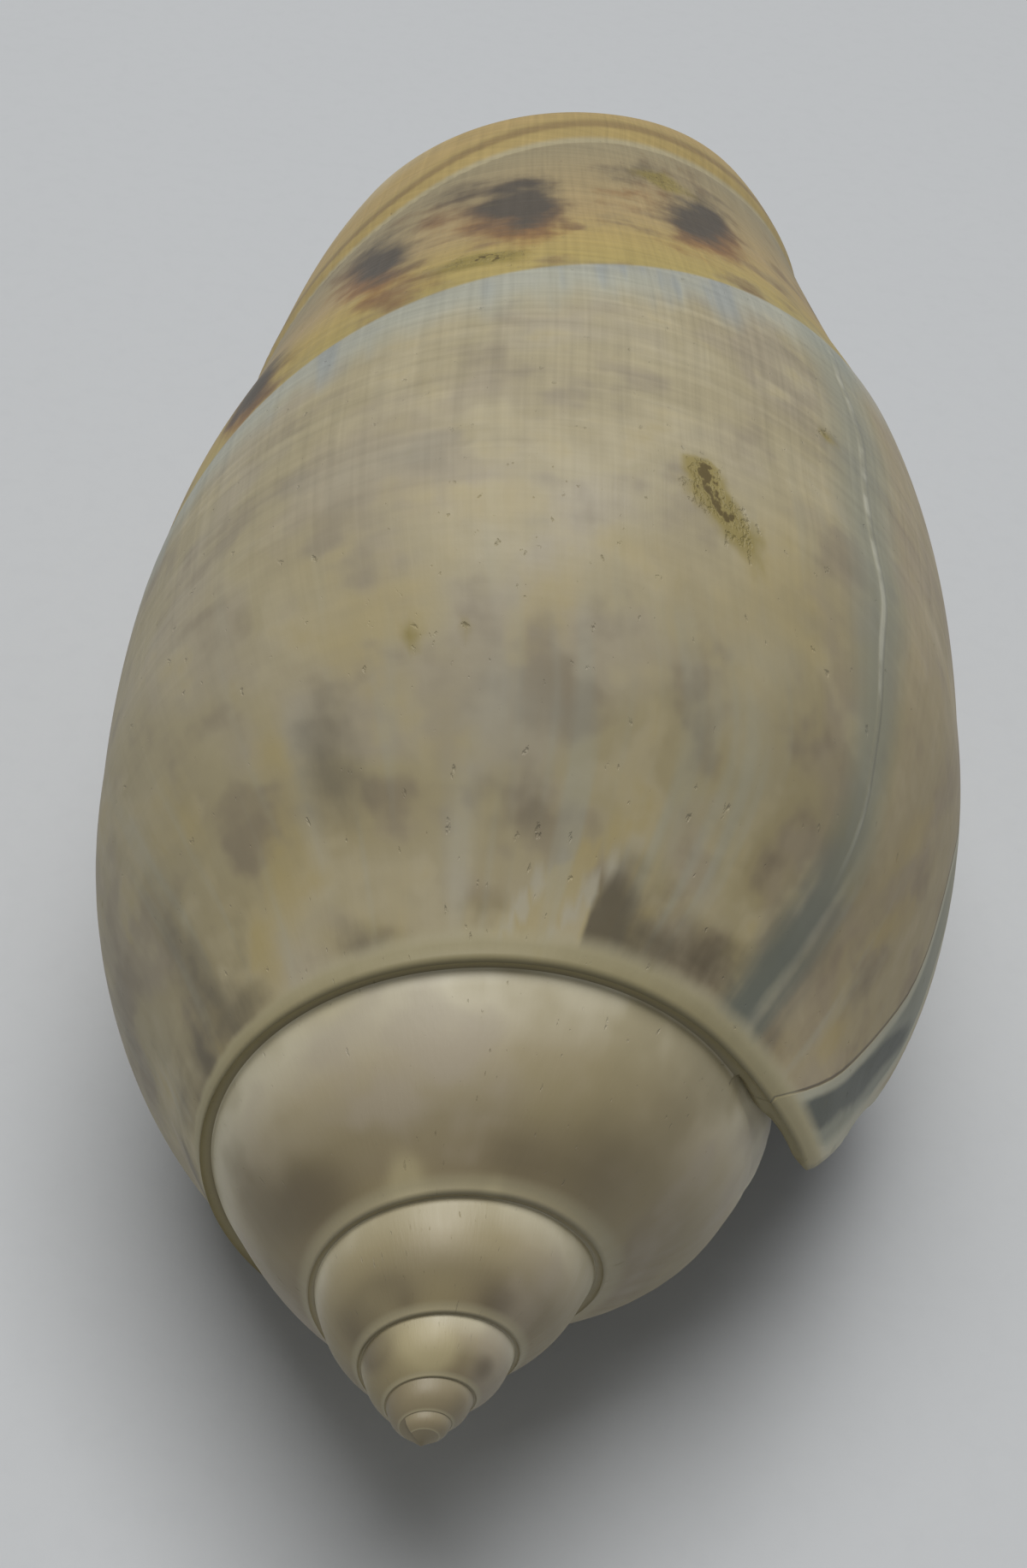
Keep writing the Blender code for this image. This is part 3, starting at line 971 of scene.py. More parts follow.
class Finish:
    """One material in the making, and the maps that its coats read by name."""

    def __init__(self, name: str) -> None:
        """Makes the material, with no nodes yet.

        Args:
            name: The material's name.
        """
        self.material = bpy.data.materials.new(name)
        self.material.use_nodes = True
        self.tree = self.material.node_tree
        self.tree.nodes.clear()
        self.maps: dict[str, Any] = {}

    def add(self, make: Make, *values: Any, **settings: Any) -> Any:
        """Adds a node with its settings and links.

        Args:
            make: Which node.
            values: Sockets, numbers or hex colours for its inputs, in order.
            settings: Further attributes set on the node.

        Returns:
            The output that is read, or all of them where several are.
        """
        kind, inputs, output, fixed = make.value
        made = self.tree.nodes.new(f"ShaderNode{kind}")
        for name, value in {**fixed, **settings}.items():
            setattr(made, name, value)
        for name, value in zip(inputs, values):
            if isinstance(value, bpy.types.NodeSocket):
                self.tree.links.new(value, made.inputs[name])
            else:
                made.inputs[name].default_value = linear(value) if isinstance(value, str) else value
        return list(made.outputs) if output is None else made.outputs[output]

    def read_growth(self) -> None:
        """Names the piece's own UV maps, and the millimetres around and along that they give."""
        for name, parts in GROWTH_MAPS.items():
            self.maps.update(zip(parts, self.add(Make.AXES, self.add(Make.UV, uv_map=name))))
        self.maps["around"] = self.add(Make.TIMES, self.maps["turn"], AROUND_MM)
        self.maps["along"] = self.add(Make.TIMES, self.maps["height"], LENGTH_MM)

    def grown(self, around_mm: float, along_mm: float, detail: float, rough: float) -> Any:
        """Noise laid out along the growth, in patches of a size in millimetres.

        Args:
            around_mm: Size around the shell.
            along_mm: Size along it.
            detail: How many finer layers it has.
            rough: How strong they are.

        Returns:
            The noise, from 0 to 1.
        """
        around = self.add(Make.OVER, self.maps["around"], around_mm)
        along = self.add(Make.OVER, self.maps["along"], along_mm)
        return self.add(Make.NOISE, self.add(Make.JOIN, around, along), 1.0, detail, rough)

    def zone(self, bands: Iterable[Band]) -> Any:
        """How far all of some bands are full, from 0 to 1."""
        steps = [self.add(Make.STEP, self.maps[name], start, full) for name, start, full in bands]
        return reduce(partial(self.add, Make.TIMES), steps)

    def coated(self, colour: Any, coats: Iterable[Coat]) -> Any:
        """Lays coats over a colour, one after another, and returns the colour they give.

        Args:
            colour: The colour below them.
            coats: The coats, from the first one laid.

        Returns:
            The colour with all of them.
        """
        for coat in coats:
            zones = [self.zone(bands) for bands in (coat.bands, *coat.others)]
            strongest = reduce(partial(self.add, Make.GREATER), zones)
            share = self.add(Make.TIMES, strongest, coat.strength)
            colour = self.add(Make.MIX, share, colour, coat.colour)
        return colour

    def graded(self, name: str, stops: Sequence[Stop]) -> Any:
        """The colour that runs evenly from stop to stop as a map rises.

        Args:
            name: The map that it follows.
            stops: Values of the map, rising, and the colour at each.

        Returns:
            The colour.
        """
        colour: Any = stops[0][1]
        for (low, _), (high, code) in zip(stops, stops[1:]):
            share = self.add(Make.RANGE, self.maps[name], low, high)
            colour = self.add(Make.MIX, share, colour, code)
        return colour

    def done(self, *surface: Any) -> bpy.types.Material:
        """Puts the surface on the material and returns it."""
        self.add(Make.OUTPUT, self.add(Make.SURFACE, *surface))
        return self.material


# What each channel of the piece's own UV maps and painted maps holds
GROWTH_MAPS = {"growth": ("turn", "depth"), "bands": ("share", "height"), "lip": ("line", "edge")}
PAINTED_MAPS = {
    "marks": ("dark", "warm", "spot"),
    "tones": ("callused", "brown", "honey"),
    "stains": ("stain", "rust", "pale"),
}

# Clouds, patches and the callus's murk: the size of one in mm, detail, roughness
SPATIAL_NOISES = {
    "cloud": (6.25, 3, 0.55),
    "round": (2.63, 3, 0.5),
    "murk": (4.35, 3, 0.5),
}

# Noises laid out along the growth: mm around, mm along, detail. The hair and the thread, which
# are the fine growth lines and spiral threads, are drawn at twice their real spacing.
GROWN_NOISES = {
    "tall": (1.5, 4, 2),
    "wide": (4, 1.3, 2),
    "streak": (1.7, 9, 2),
    "hair": (0.3, 9, 2),
    "thread": (8, 0.34, 2),
    "wobble": (40, 7, 2),
    "fleck": (1.3, 1.6, 4),
    "grain": (0.45, 0.45, 4),
}

# Maps made of shares of two others
BLENDS = {
    "blocks": ("tall", 0.3, "wide", 0.7),
    "patch": ("round", 0.62, "blocks", 0.38),
    "net": ("hair", 0.5, "thread", 0.5),
}

# Maps whose edges noises fray: what is frayed, and by how much of which noise
FRAYED = {
    "olive": ("warm", (("fleck", 0.7), ("patch", -5))),
    "grey": ("pale", (("fleck", 0.5), ("patch", 0.8))),
    "smoke": ("dark", (("fleck", 0.45), ("patch", 2))),
    "rusty": ("rust", (("fleck", 1.2), ("patch", 2))),
    "blotch": ("spot", (("fleck", 0.9), ("patch", 2.2))),
    "smear": ("streak", (("fleck", 0.2), ("patch", 0.4))),
    "behind band": ("share", (("streak", 0.16),)),
    "wander": ("degrees", (("wobble", 5),)),
    "ragged depth": ("depth", (("fleck", 0.003),)),
    "brown cloud": ("brown", (("murk", 2),)),
    "pale cloud": ("pale", (("murk", 2),)),
    "stained": ("stain", (("fleck", 0.8),)),
    "dirt": ("stain", (("grain", 3),)),
}

# Zones that several coats share
BEHIND = ("share", 0.1, -0.1)
ON_BODY = ("share", -2.6, -2.2)
BLUISH = ("behind band", -0.22, -0.06)
RIDGE = (("wander", 29.6, 30.2), ("wander", 31.1, 30.5), BEHIND, ("depth", 0.07, 0.12))
MARGIN = (("line", 0, -0.12), ("line", -1.5, -1.3), BEHIND, ("height", 0.48, 0.34))
CREASE = (("line", -0.035, -0.005), ("line", 0.05, 0.015), BEHIND, ("height", 0.6, 0.36))

# Patches laid down by the mantle: beige and olive clouds, brown, cream, yellow and grey patches
BACK_STOPS = ((0.38, "#998A6D"), (0.46, "#A09167"), (0.55, "#A6986F"), (0.64, "#A4977B"))
BACK_COATS = (
    Coat("#7F6F55", 0.78, (("patch", 0.5, 0.62),)),
    Coat("#B7AB8B", 0.75, (("patch", 0.49, 0.38),)),
    Coat("#AB9758", 0.8, (("olive", 0.1, 1.15),)),
    Coat("#B4B0A0", 0.6, (("grey", 0.1, 1),)),
    Coat("#A3A79B", 0.35, (("streak", 0.55, 0.72), ("depth", 0.3, 0.02))),
    # Flames at the suture, and a paler zone between them
    Coat("#524834", 0.92, (("smoke", 0.1, 1.1), ("line", -0.15, 0))),
    Coat("#B3A98F", 0.4, (("depth", 0.06, 0.02), ("dark", 0.45, 0.05))),
    # The greyer part towards the front, and the blue-grey zone behind the front band
    Coat("#A29C8A", 0.45, (("share", -1.6, -0.6),)),
    Coat("#A5A89D", 0.7, (BLUISH,)),
    Coat("#8A9092", 0.55, (("streak", 0.52, 0.66), BLUISH)),
)

# The front band: yellow at its back, tan at its front, with smoky blotches that rust behind
BAND_STOPS = ((0.02, "#A8965A"), (0.2, "#AA9459"), (0.42, "#A69064"), (0.95, "#938769"))
BAND_COATS = (
    Coat("#8A7B5E", 0.5, (("patch", 0.5, 0.62),)),
    Coat("#84572B", 0.8, (("rusty", 0.1, 1),)),
    Coat("#4E473D", 0.98, (("blotch", 0.06, 1.15),)),
)

# The cord in front of it, which is pale at first, with one dark line
CORD_COLOUR = "#A69B7B"
CORD_COATS = (
    Coat("#A5905A", 1, (("share", 1.005, 1.03),)),
    Coat("#8C764A", 1, (("share", 1.06, 1.09), ("share", 1.17, 1.11))),
    Coat("#AC945F", 1, (("share", 1.13, 1.22),)),
    Coat("#BBA981", 1, (("share", 1.3, 1.6),)),
)

LIP_COATS = (
    # The healed break: fresh shell after it, a grey strip, its darker back end, and its raised
    # ridge, painted pale as a highlight
    Coat("#AB987A", 0.3, (("wander", 27, 22), ON_BODY, BEHIND)),
    Coat("#8A8E82", 0.6, (("wander", 23.5, 29.5), ("wander", 38, 31.5), BEHIND)),
    Coat(
        "#62665B",
        0.85,
        (
            ("wander", 19, 29),
            ("wander", 41, 34),
            ("depth", 0.13, 0.03),
            ("smear", 0.28, 0.54),
            ON_BODY,
        ),
    ),
    # Painted highlight along the raised ridge of the break
    Coat("#B5B3A2", 0.8, (*RIDGE, ("fleck", 0.4, 0.6))),
    # The margin beyond the last growth line: grey with a dark patch, then the newest shell
    Coat("#83877A", 0.85, MARGIN),
    Coat("#494D46", 0.85, (*MARGIN, ("dark", 0.2, 0.75))),
    Coat("#B5A88A", 0.6, (("line", -1.35, -1.45), ("edge", 9, 8), BEHIND)),
    Coat("#B1A682", 0.7, (("line", 0, -0.1), ("height", 0.3, 0.4), BEHIND)),
    # The cream lines that bound it, and the crease at the growth line
    Coat(
        "#B9B59E",
        0.75,
        (("line", 0, -0.03), ("line", -0.3, -0.14), BEHIND),
        (
            (("line", -1.2, -1.32), ("line", -1.7, -1.5), BEHIND),
            (("edge", 0.55, 0.25), ON_BODY),
        ),
    ),
    Coat("#5A4C30", 0.75, CREASE),
)

# The rounded rim along the suture; the pale line where it meets the body, on the outer side and the
# back, is a painted highlight
CREST_HIGHLIGHT_COATS = (Coat("#B0A788", 0.55, (("rim", 0.007, 0.001), ("turn", 0.38, 0.3))),)
RIM_COLOUR = "#8C825F"
RIM_COATS = (Coat("#A89E7C", 1, (("rim", -0.0085, 0.001),)),)

# The spire, under a clouded callus
CALLUS_STOPS = (
    (0.05, "#84775B"),
    (0.3, "#897D60"),
    (0.6, "#A5997D"),
    (0.85, "#C0B79D"),
    (0.97, "#C6BEA4"),
)
CALLUS_COATS = (
    Coat("#968963", 0.55, (("murk", 0.46, 0.62),)),
    Coat("#9F9483", 0.45, (("murk", 0.48, 0.36),)),
    Coat("#5F5440", 0.75, (("brown cloud", 0.1, 1),)),
    Coat("#B3A780", 0.55, (("pale cloud", 0.1, 0.9),)),
)
TIP_COLOUR = "#877B60"
SPIRE_RIM_COATS = (Coat("#A39A7C", 0.6, (("strip", 0.09, 0.03),)),)
# Painted shade: a dark colour at the bottom of the channel along the suture, where shade falls in
# the groove
CHANNEL_SHADE_COLOUR = "#776C4C"

# Olive stain, and dirt in its small pits
DIRT_COATS = (
    Coat("#897A3C", 0.8, (("stained", 0.08, 0.6),)),
    Coat("#54451C", 0.9, (("dirt", 0.85, 1.15),)),
)


@dataclass(frozen=True)
class OliveGlaze:
    """The outer glaze: worn polished aragonite, so the mottling shows under a soft gloss."""

    name: str = "worn glossy olive shell"
    rim_turns: Span = (0.02, 0.20)
    rim_widths: Span = (0.0100, 0.0070)
    strip_depth: float = 0.163
    rim_edge: Band = ("rim", 0.0025, -0.0020)
    rim_cover: float = 0.95
    band_edge: Band = ("share", -0.010, 0.010)
    cord_edge: Band = ("share", 0.975, 0.995)
    # Painted shade at the bottom of the suture channel: where it lies, how strong it is, and how
    # much less it is on the callus
    channel_shade_edge: Band = ("depth", -0.0022, -0.0055)
    channel_shade_cover: float = 0.90
    channel_shade_loss: float = -0.55
    woven_depth: Band = ("depth", 0.08, 0.30)
    woven_front: Band = ("height", 0.93, 0.86)
    woven_least: float = 0.10
    woven_gain: float = 0.90
    woven_loss: float = -0.8
    net_contrast: float = 0.75
    net_relief: float = 0.8
    grain_relief: float = 0.12
    layering: float = 0.55
    bump_strength: float = 0.5
    bump_height: float = 0.0001
    roughness: float = 0.45
    roughness_spread: float = 0.20
    callus_polish: float = -0.08
    reliefs: tuple[tuple[tuple[Band, ...], float], ...] = (
        ((("dirt", 0.5, 0.8),), -1.2),
        (RIDGE, 0.8),
        (CREASE, -1.5),
    )

    def gather(self, finish: Finish) -> None:
        """Fills in the maps that the coats read.

        Args:
            finish: The material, which takes the maps.
        """
        maps = finish.maps
        finish.read_growth()
        for name, parts in PAINTED_MAPS.items():
            painted = finish.add(Make.PAINT, attribute_name=name)
            maps.update(zip(parts, finish.add(Make.CHANNELS, painted)))
        place = finish.add(Make.OBJECT)
        for name, (size_mm, detail, rough) in SPATIAL_NOISES.items():
            maps[name] = finish.add(Make.NOISE, place, 1000 / size_mm, detail, rough)
        for name, (around_mm, along_mm, detail) in GROWN_NOISES.items():
            maps[name] = finish.grown(around_mm, along_mm, detail, self.layering)
        for name, (first, share, second, rest) in BLENDS.items():
            remainder = finish.add(Make.TIMES, maps[second], rest)
            maps[name] = finish.add(Make.TIMES_PLUS, maps[first], share, remainder)
        maps["degrees"] = finish.add(Make.TIMES, maps["turn"], 360.0)
        for name, (source, noises) in FRAYED.items():
            maps[name] = maps[source]
            for noise, by in noises:
                centred = finish.add(Make.MINUS, maps[noise], 0.5)
                maps[name] = finish.add(Make.TIMES_PLUS, centred, by, maps[name])
        width = finish.add(Make.RANGE, maps["turn"], *self.rim_turns, *self.rim_widths)
        maps["rim"] = finish.add(Make.MINUS, maps["ragged depth"], width)
        maps["strip"] = finish.add(Make.OVER, maps["depth"], self.strip_depth)

    def body(self, finish: Finish) -> Any:
        """Colour of the last whorl: the back, the front band and cord, the lip, and the rim, with a
        painted highlight beside the rim.

        Args:
            finish: The material, its maps filled in.

        Returns:
            The colour.
        """
        skin = finish.coated(finish.graded("cloud", BACK_STOPS), BACK_COATS)
        band = finish.coated(finish.graded("share", BAND_STOPS), BAND_COATS)
        skin = finish.add(Make.MIX, finish.zone([self.band_edge]), skin, band)
        cord = finish.coated(CORD_COLOUR, CORD_COATS)
        skin = finish.add(Make.MIX, finish.zone([self.cord_edge]), skin, cord)
        # Then the painted highlight along the outer side of the rim
        skin = finish.coated(finish.coated(skin, LIP_COATS), CREST_HIGHLIGHT_COATS)
        share = finish.add(Make.TIMES, finish.zone([self.rim_edge]), self.rim_cover)
        return finish.add(Make.MIX, share, skin, finish.coated(RIM_COLOUR, RIM_COATS))

    def spire(self, finish: Finish) -> Any:
        """Colour of the callused whorls, browner at the tip.

        Args:
            finish: The material, its maps filled in.

        Returns:
            The colour.
        """
        callus = finish.coated(finish.graded("strip", CALLUS_STOPS), CALLUS_COATS)
        callus = finish.add(Make.MIX, finish.maps["honey"], callus, TIP_COLOUR)
        return finish.coated(callus, SPIRE_RIM_COATS)

    def build(self) -> bpy.types.Material:
        """Builds the material.

        Returns:
            The material, from the growth pattern up to the gloss.
        """
        finish = Finish(self.name)
        self.gather(finish)
        maps, callused = finish.maps, finish.maps["callused"]
        skin = finish.add(Make.MIX, callused, self.body(finish), self.spire(finish))
        # Painted shade darkens the bottom of the suture channel, less on the callused whorls
        share = finish.add(Make.TIMES_PLUS, callused, self.channel_shade_loss, self.channel_shade_cover)
        share = finish.add(Make.TIMES, finish.zone([self.channel_shade_edge]), share)
        skin = finish.coated(finish.add(Make.MIX, share, skin, CHANNEL_SHADE_COLOUR), DIRT_COATS)

        woven = finish.zone([self.woven_depth])
        woven = finish.add(Make.TIMES_PLUS, woven, self.woven_gain, self.woven_least)
        woven = finish.add(Make.TIMES, woven, finish.zone([self.woven_front]))
        bare = finish.add(Make.TIMES_PLUS, callused, self.woven_loss, 1.0)
        woven = finish.add(Make.TIMES, woven, bare)
        shade = finish.add(Make.TIMES, finish.add(Make.MINUS, maps["net"], 0.5), woven)
        shade = finish.add(Make.TIMES_PLUS, shade, self.net_contrast, 1.0)
        skin = finish.add(Make.SHADE, 1.0, skin, finish.add(Make.GREY, shade, shade, shade))

        relief = finish.add(Make.TIMES, maps["grain"], self.grain_relief)
        net = finish.add(Make.TIMES, maps["net"], woven)
        relief = finish.add(Make.TIMES_PLUS, net, self.net_relief, relief)
        for bands, height in self.reliefs:
            relief = finish.add(Make.TIMES_PLUS, finish.zone(bands), height, relief)
        rough = finish.add(Make.TIMES_PLUS, maps["fleck"], self.roughness_spread, self.roughness)
        rough = finish.add(Make.TIMES_PLUS, callused, self.callus_polish, rough)
        bump = finish.add(Make.BUMP, self.bump_strength, self.bump_height, relief)
        return finish.done(skin, rough, bump, SHELL_IOR)


@dataclass(frozen=True)
class MouthGlaze:
    """The inner wall: porcelain-smooth, so it shines more, pale lilac-grey turning cream."""

    name: str = "smooth shell lining"
    cloud: tuple[float, ...] = (5.0, 9.0, 3.0, 0.5)
    growth: tuple[float, ...] = (0.35, 9.0, 2.0, 0.5)
    stops: tuple[Stop, ...] = ((0.35, "#B9B2A6"), (0.55, "#CFC8B8"), (0.70, "#D9D2C0"))
    lines: Coat = Coat("#A89F8E", 0.25, (("lines", 0.5, 0.75),))
    roughness: float = 0.20
    roughness_spread: float = 0.15
    bump_strength: float = 0.15
    bump_height: float = 0.0001

    def build(self) -> bpy.types.Material:
        """Builds the material.

        Returns:
            The material, clouded along the growth.
        """
        finish = Finish(self.name)
        finish.read_growth()
        finish.maps["cloud"] = finish.grown(*self.cloud)
        finish.maps["lines"] = finish.grown(*self.growth)
        skin = finish.coated(finish.graded("cloud", self.stops), [self.lines])
        cloud, lines = finish.maps["cloud"], finish.maps["lines"]
        rough = finish.add(Make.TIMES_PLUS, cloud, self.roughness_spread, self.roughness)
        bump = finish.add(Make.BUMP, self.bump_strength, self.bump_height, lines)
        return finish.done(skin, rough, bump, SHELL_IOR)


@dataclass(frozen=True)
class PaperFinish:
    """Matt pale paper with a faint cool tone and a fine tooth."""

    name: str = "pale matt paper"
    colour: str = "#BEC0C2"
    tooth: Coat = Coat("#B2B4B6", 0.10, (("tooth", 0.45, 0.7),))
    tooth_mm: float = 1.11
    tooth_detail: float = 3.0
    tooth_layering: float = 0.6
    roughness: float = 0.75
    bump_strength: float = 0.08
    bump_height: float = 0.0002

    def build(self) -> bpy.types.Material:
        """Builds the material.

        Returns:
            The material, its tooth in colour and in relief.
        """
        finish = Finish(self.name)
        place, scale = finish.add(Make.OBJECT), 1000 / self.tooth_mm
        tooth = finish.add(Make.NOISE, place, scale, self.tooth_detail, self.tooth_layering)
        finish.maps["tooth"] = tooth
        skin = finish.coated(self.colour, [self.tooth])
        bump = finish.add(Make.BUMP, self.bump_strength, self.bump_height, tooth)
        return finish.done(skin, self.roughness, bump)


# ---------------------------------------------------------------- the shell


@dataclass
class OliveShell:
    """The shell: its fine mesh, its place on the table, and its finishes."""

    spiral: Spiral = field(default_factory=Spiral)
    length: float = LENGTH_MM / 1000
    roll: float = -1.9
    pitch: float = -3.16
    step: float = 1.5
    body_rows: int = 96
    hollow_step: float = 3.0
    hollow_rows: int = 96
    rim_rings: int = 2
    rim_passes: int = 16
    rim_pulls: tuple[float, float] = (0.50, -0.52)
    glazed: Span = (291.0, 400.0)
    sampled_turns: Span = (-120.0, 2400.0)
    lean_turns: Span = (55.0, 95.0)
    lean_loss: float = 0.85
    band_end: float = 340.0
    far_from_band: float = -3.0
    lip_end: float = 200.0
    far_from_lip: float = 90.0
    lip_unit: float = 10.0
    callus_heights: Span = (0.18, 0.40)
    callus_turns: Span = (300.0, 335.0)
    callus_lead: Span = (22.0, 27.0)
    honey_turns: Span = (1330, 1500)
    honey: float = 0.8
    rust: float = 0.9
    rust_lift: float = 0.035

    def rest(self) -> Matrix:
        """Turn from the shell's own axes to its place on the table."""
        roll = Matrix.Rotation(math.radians(self.roll), 4, "Y")
        return roll @ Matrix.Rotation(math.radians(self.pitch), 4, "X")

    def mesh_object(self, name: str, sheet: Sheet) -> bpy.types.Object:
        """Makes a closed mesh object, its faces outwards and its corners placed by turn and height
        in one UV map.

        Args:
            name: The object's name.
            sheet: Points, faces and corner places.

        Returns:
            The object, linked to the scene.
        """
        mesh = bpy.data.meshes.new(name)
        points = [[self.length * c for c in point] for point in sheet.points]
        mesh.from_pydata(points, [], sheet.faces)
        places = np.array([place for corners in sheet.corners for place in corners])
        layer = mesh.uv_layers.new(name="place")
        layer.data.foreach_set("uv", (places / (360.0, 1.0)).ravel())
        mesh.polygons.foreach_set("material_index", [side.value for side in sheet.sides])
        mesh.polygons.foreach_set("use_smooth", [True] * len(mesh.polygons))
        made = bpy.data.objects.new(name, mesh)
        bpy.context.scene.collection.objects.link(made)
        bpy.ops.object.select_all(action="DESELECT")
        bpy.context.view_layer.objects.active = made
        made.select_set(True)
        bpy.ops.object.mode_set(mode="EDIT")
        bpy.ops.mesh.select_all(action="SELECT")
        bpy.ops.mesh.delete_loose()
        bpy.ops.mesh.normals_make_consistent(inside=False)
        bpy.ops.object.mode_set(mode="OBJECT")
        return made

    def build(self) -> bpy.types.Object:
        """Models the shell: the outer form, hollowed, its rims softened, laid on the table.

        Returns:
            The finished, unpainted shell.
        """
        coarse = 1
        outer = OuterForm(self.spiral, self.step * coarse, self.body_rows // coarse)
        hollow = Hollow(self.spiral, self.hollow_step, self.hollow_rows // coarse)
        shell = self.mesh_object("shell", outer.sheet())
        cutter = self.mesh_object("hollow", hollow.sheet())
        for _ in Side:
            shell.data.materials.append(None)
            cutter.data.materials.append(None)
        cut = shell.modifiers.new("hollow", "BOOLEAN")
        cut.operation = "DIFFERENCE"
        cut.solver = "MANIFOLD"
        cut.object = cutter
        bpy.ops.object.select_all(action="DESELECT")
        bpy.context.view_layer.objects.active = shell
        bpy.ops.object.modifier_apply(modifier=cut.name)
        bpy.data.objects.remove(cutter, do_unlink=True)
        self.soften_rims(shell)
        self.glaze_inner_lip(shell)
        self.lay_down(shell)
        return shell

    def even_rims(self, mesh: bpy.types.Mesh) -> Array:
        """Evens the line where the hollow meets the outside, without drawing it in.

        Args:
            mesh: The hollowed shell.

        Returns:
            For each point, whether it is on that line.
        """
        sides = read(mesh.polygons, "material_index")
        touches = np.zeros((len(mesh.edges), 2), bool)
        corner_sides = np.repeat(sides, read(mesh.polygons, "loop_total"))
        touches[read(mesh.loops, "edge_index"), corner_sides] = True
        rim = read(mesh.edges, "vertices", 2)[touches.all(axis=1)]
        points = read(mesh.vertices, "co", 3, float)
        count = np.zeros(len(points))
        np.add.at(count, rim.ravel(), 1)
        on_rim = count > 0
        for _ in range(self.rim_passes):
            for pull in self.rim_pulls:
                total = np.zeros_like(points)
                np.add.at(total, rim[:, 0], points[rim[:, 1]])
                np.add.at(total, rim[:, 1], points[rim[:, 0]])
                middle = total[on_rim] / count[on_rim, None]
                points[on_rim] += pull * (middle - points[on_rim])
        mesh.vertices.foreach_set("co", points.ravel())
        return on_rim

    def soften_rims(self, shell: bpy.types.Object) -> None:
        """Rounds the edges where the hollow meets the outside, as growth leaves them.

        Args:
            shell: The hollowed shell.
        """
        mesh = shell.data
        near = self.even_rims(mesh).astype(float)
        edges = read(mesh.edges, "vertices", 2)
        weight = near.copy()
        for ring in range(self.rim_rings):
            spread = near.copy()
            np.maximum.at(spread, edges[:, 0], near[edges[:, 1]])
            np.maximum.at(spread, edges[:, 1], near[edges[:, 0]])
            weight = np.maximum(weight, spread * (1 - (ring + 1) / (self.rim_rings + 1)))
            near = spread
        group = shell.vertex_groups.new(name="rims")
        for value in np.unique(weight[weight > 0]):
            group.add(np.nonzero(weight == value)[0].tolist(), float(value), "REPLACE")
        soft = shell.modifiers.new("soft rims", "SMOOTH")
        soft.factor = 0.5
        soft.iterations = 4
        soft.vertex_group = group.name
        bpy.context.view_layer.objects.active = shell
        bpy.ops.object.modifier_apply(modifier=soft.name)
        self.even_rims(mesh)

    def glaze_inner_lip(self, shell: bpy.types.Object) -> None:
        """Gives the wall that is seen in the mouth the outer finish.

        Args:
            shell: The hollowed shell.
        """
        mesh = shell.data
        sides = read(mesh.polygons, "material_index")
        place = read(mesh.uv_layers["place"].data, "uv", 2, float)
        turn = place[read(mesh.polygons, "loop_start"), 0] * 360.0
        sides[(turn > self.glazed[0]) & (turn < self.glazed[1])] = Side.OUTSIDE.value
        mesh.polygons.foreach_set("material_index", sides)

    def lay_down(self, shell: bpy.types.Object) -> None:
        """Turns the shell to its rest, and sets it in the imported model's box.

        Args:
            shell: The finished mesh, in the shell's own axes.
        """
        mesh = shell.data
        mesh.transform(self.rest())
        points = read(mesh.vertices, "co", 3, float)
        low, high = points.min(axis=0), points.max(axis=0)
        box_low, box_high = (np.array(corner) for corner in CAD_BOX)
        fit = np.minimum(1.0, (box_high - box_low) / (high - low))
        foot = Vector((*(low + high)[:2] / 2, low[2]))
        target = Vector((*(box_low + box_high)[:2] / 2, box_low[2]))
        trim = Matrix.Diagonal((*fit, 1.0))
        mesh.transform(Matrix.Translation(target) @ trim @ Matrix.Translation(-foot))
        self.placed = Matrix.Translation(target - foot) @ self.rest()
        log.info("shell set down, trimmed by %s, %d faces", fit, len(mesh.polygons))

    def dress(self, shell: bpy.types.Object) -> None:
        """Paints the soft maps on the face corners and gives each side its finish.

        Args:
            shell: The shell, laid down.
        """
        mesh = shell.data
        turn, height = read(mesh.uv_layers["place"].data, "uv", 2, float).T
        turn = turn * 360.0
        self.write_uv(mesh, turn, height)
        self.write_maps(mesh, turn, height)
        mesh.uv_layers.remove(mesh.uv_layers["place"])
        mesh.materials[Side.OUTSIDE.value] = OliveGlaze().build()
        mesh.materials[Side.INSIDE.value] = MouthGlaze().build()

    def write_uv(self, mesh: bpy.types.Mesh, turn: Array, height: Array) -> None:
        """Writes the maps that the finishes read: by the growth, the bands and the lip.

        Args:
            mesh: The shell's mesh.
            turn: Turn of each face corner.
            height: Height of each face corner.
        """
        law = self.spiral
        sample = np.arange(*self.sampled_turns)
        suture = np.interp(turn, sample, [law.suture(t)[1] for t in sample])
        size = law.size(turn)
        lean = 1 - self.lean_loss * smooth_step(*self.lean_turns, turn)
        grown = turn - lean * smooth_curve(law.growth_line, height / size)
        back, front = law.band_lines(np.minimum(turn, self.band_end))
        share = (height - back) / (front - back)
        share = np.where(turn > self.band_end, self.far_from_band, share)
        near = turn < self.lip_end
        from_line = np.where(near, turn - smooth_curve(law.lip_line, height), self.far_from_lip)
        from_edge = np.where(near, turn - smooth_curve(law.lip_edge, height), self.far_from_lip)
        maps = {
            "growth": (grown / 360.0, (height - suture) / size),
            "bands": (share, height),
            "lip": (from_line / self.lip_unit, from_edge / self.lip_unit),
        }
        for name, pair in maps.items():
            layer = mesh.uv_layers.new(name=name)
            layer.data.foreach_set("uv", np.stack(pair, axis=1).ravel())

    def write_maps(self, mesh: bpy.types.Mesh, turn: Array, height: Array) -> None:
        """Writes the painted maps of flames, patches, blotches, callus, rust and stains.

        Args:
            mesh: The shell's mesh.
            turn: Turn of each face corner.
            height: Height of each face corner.
        """

        def total(group: Iterable[Mark], lift: float = 0.0) -> Array:
            """All marks of a group together."""
            return sum(mark.at(turn, height + lift) for mark in group)

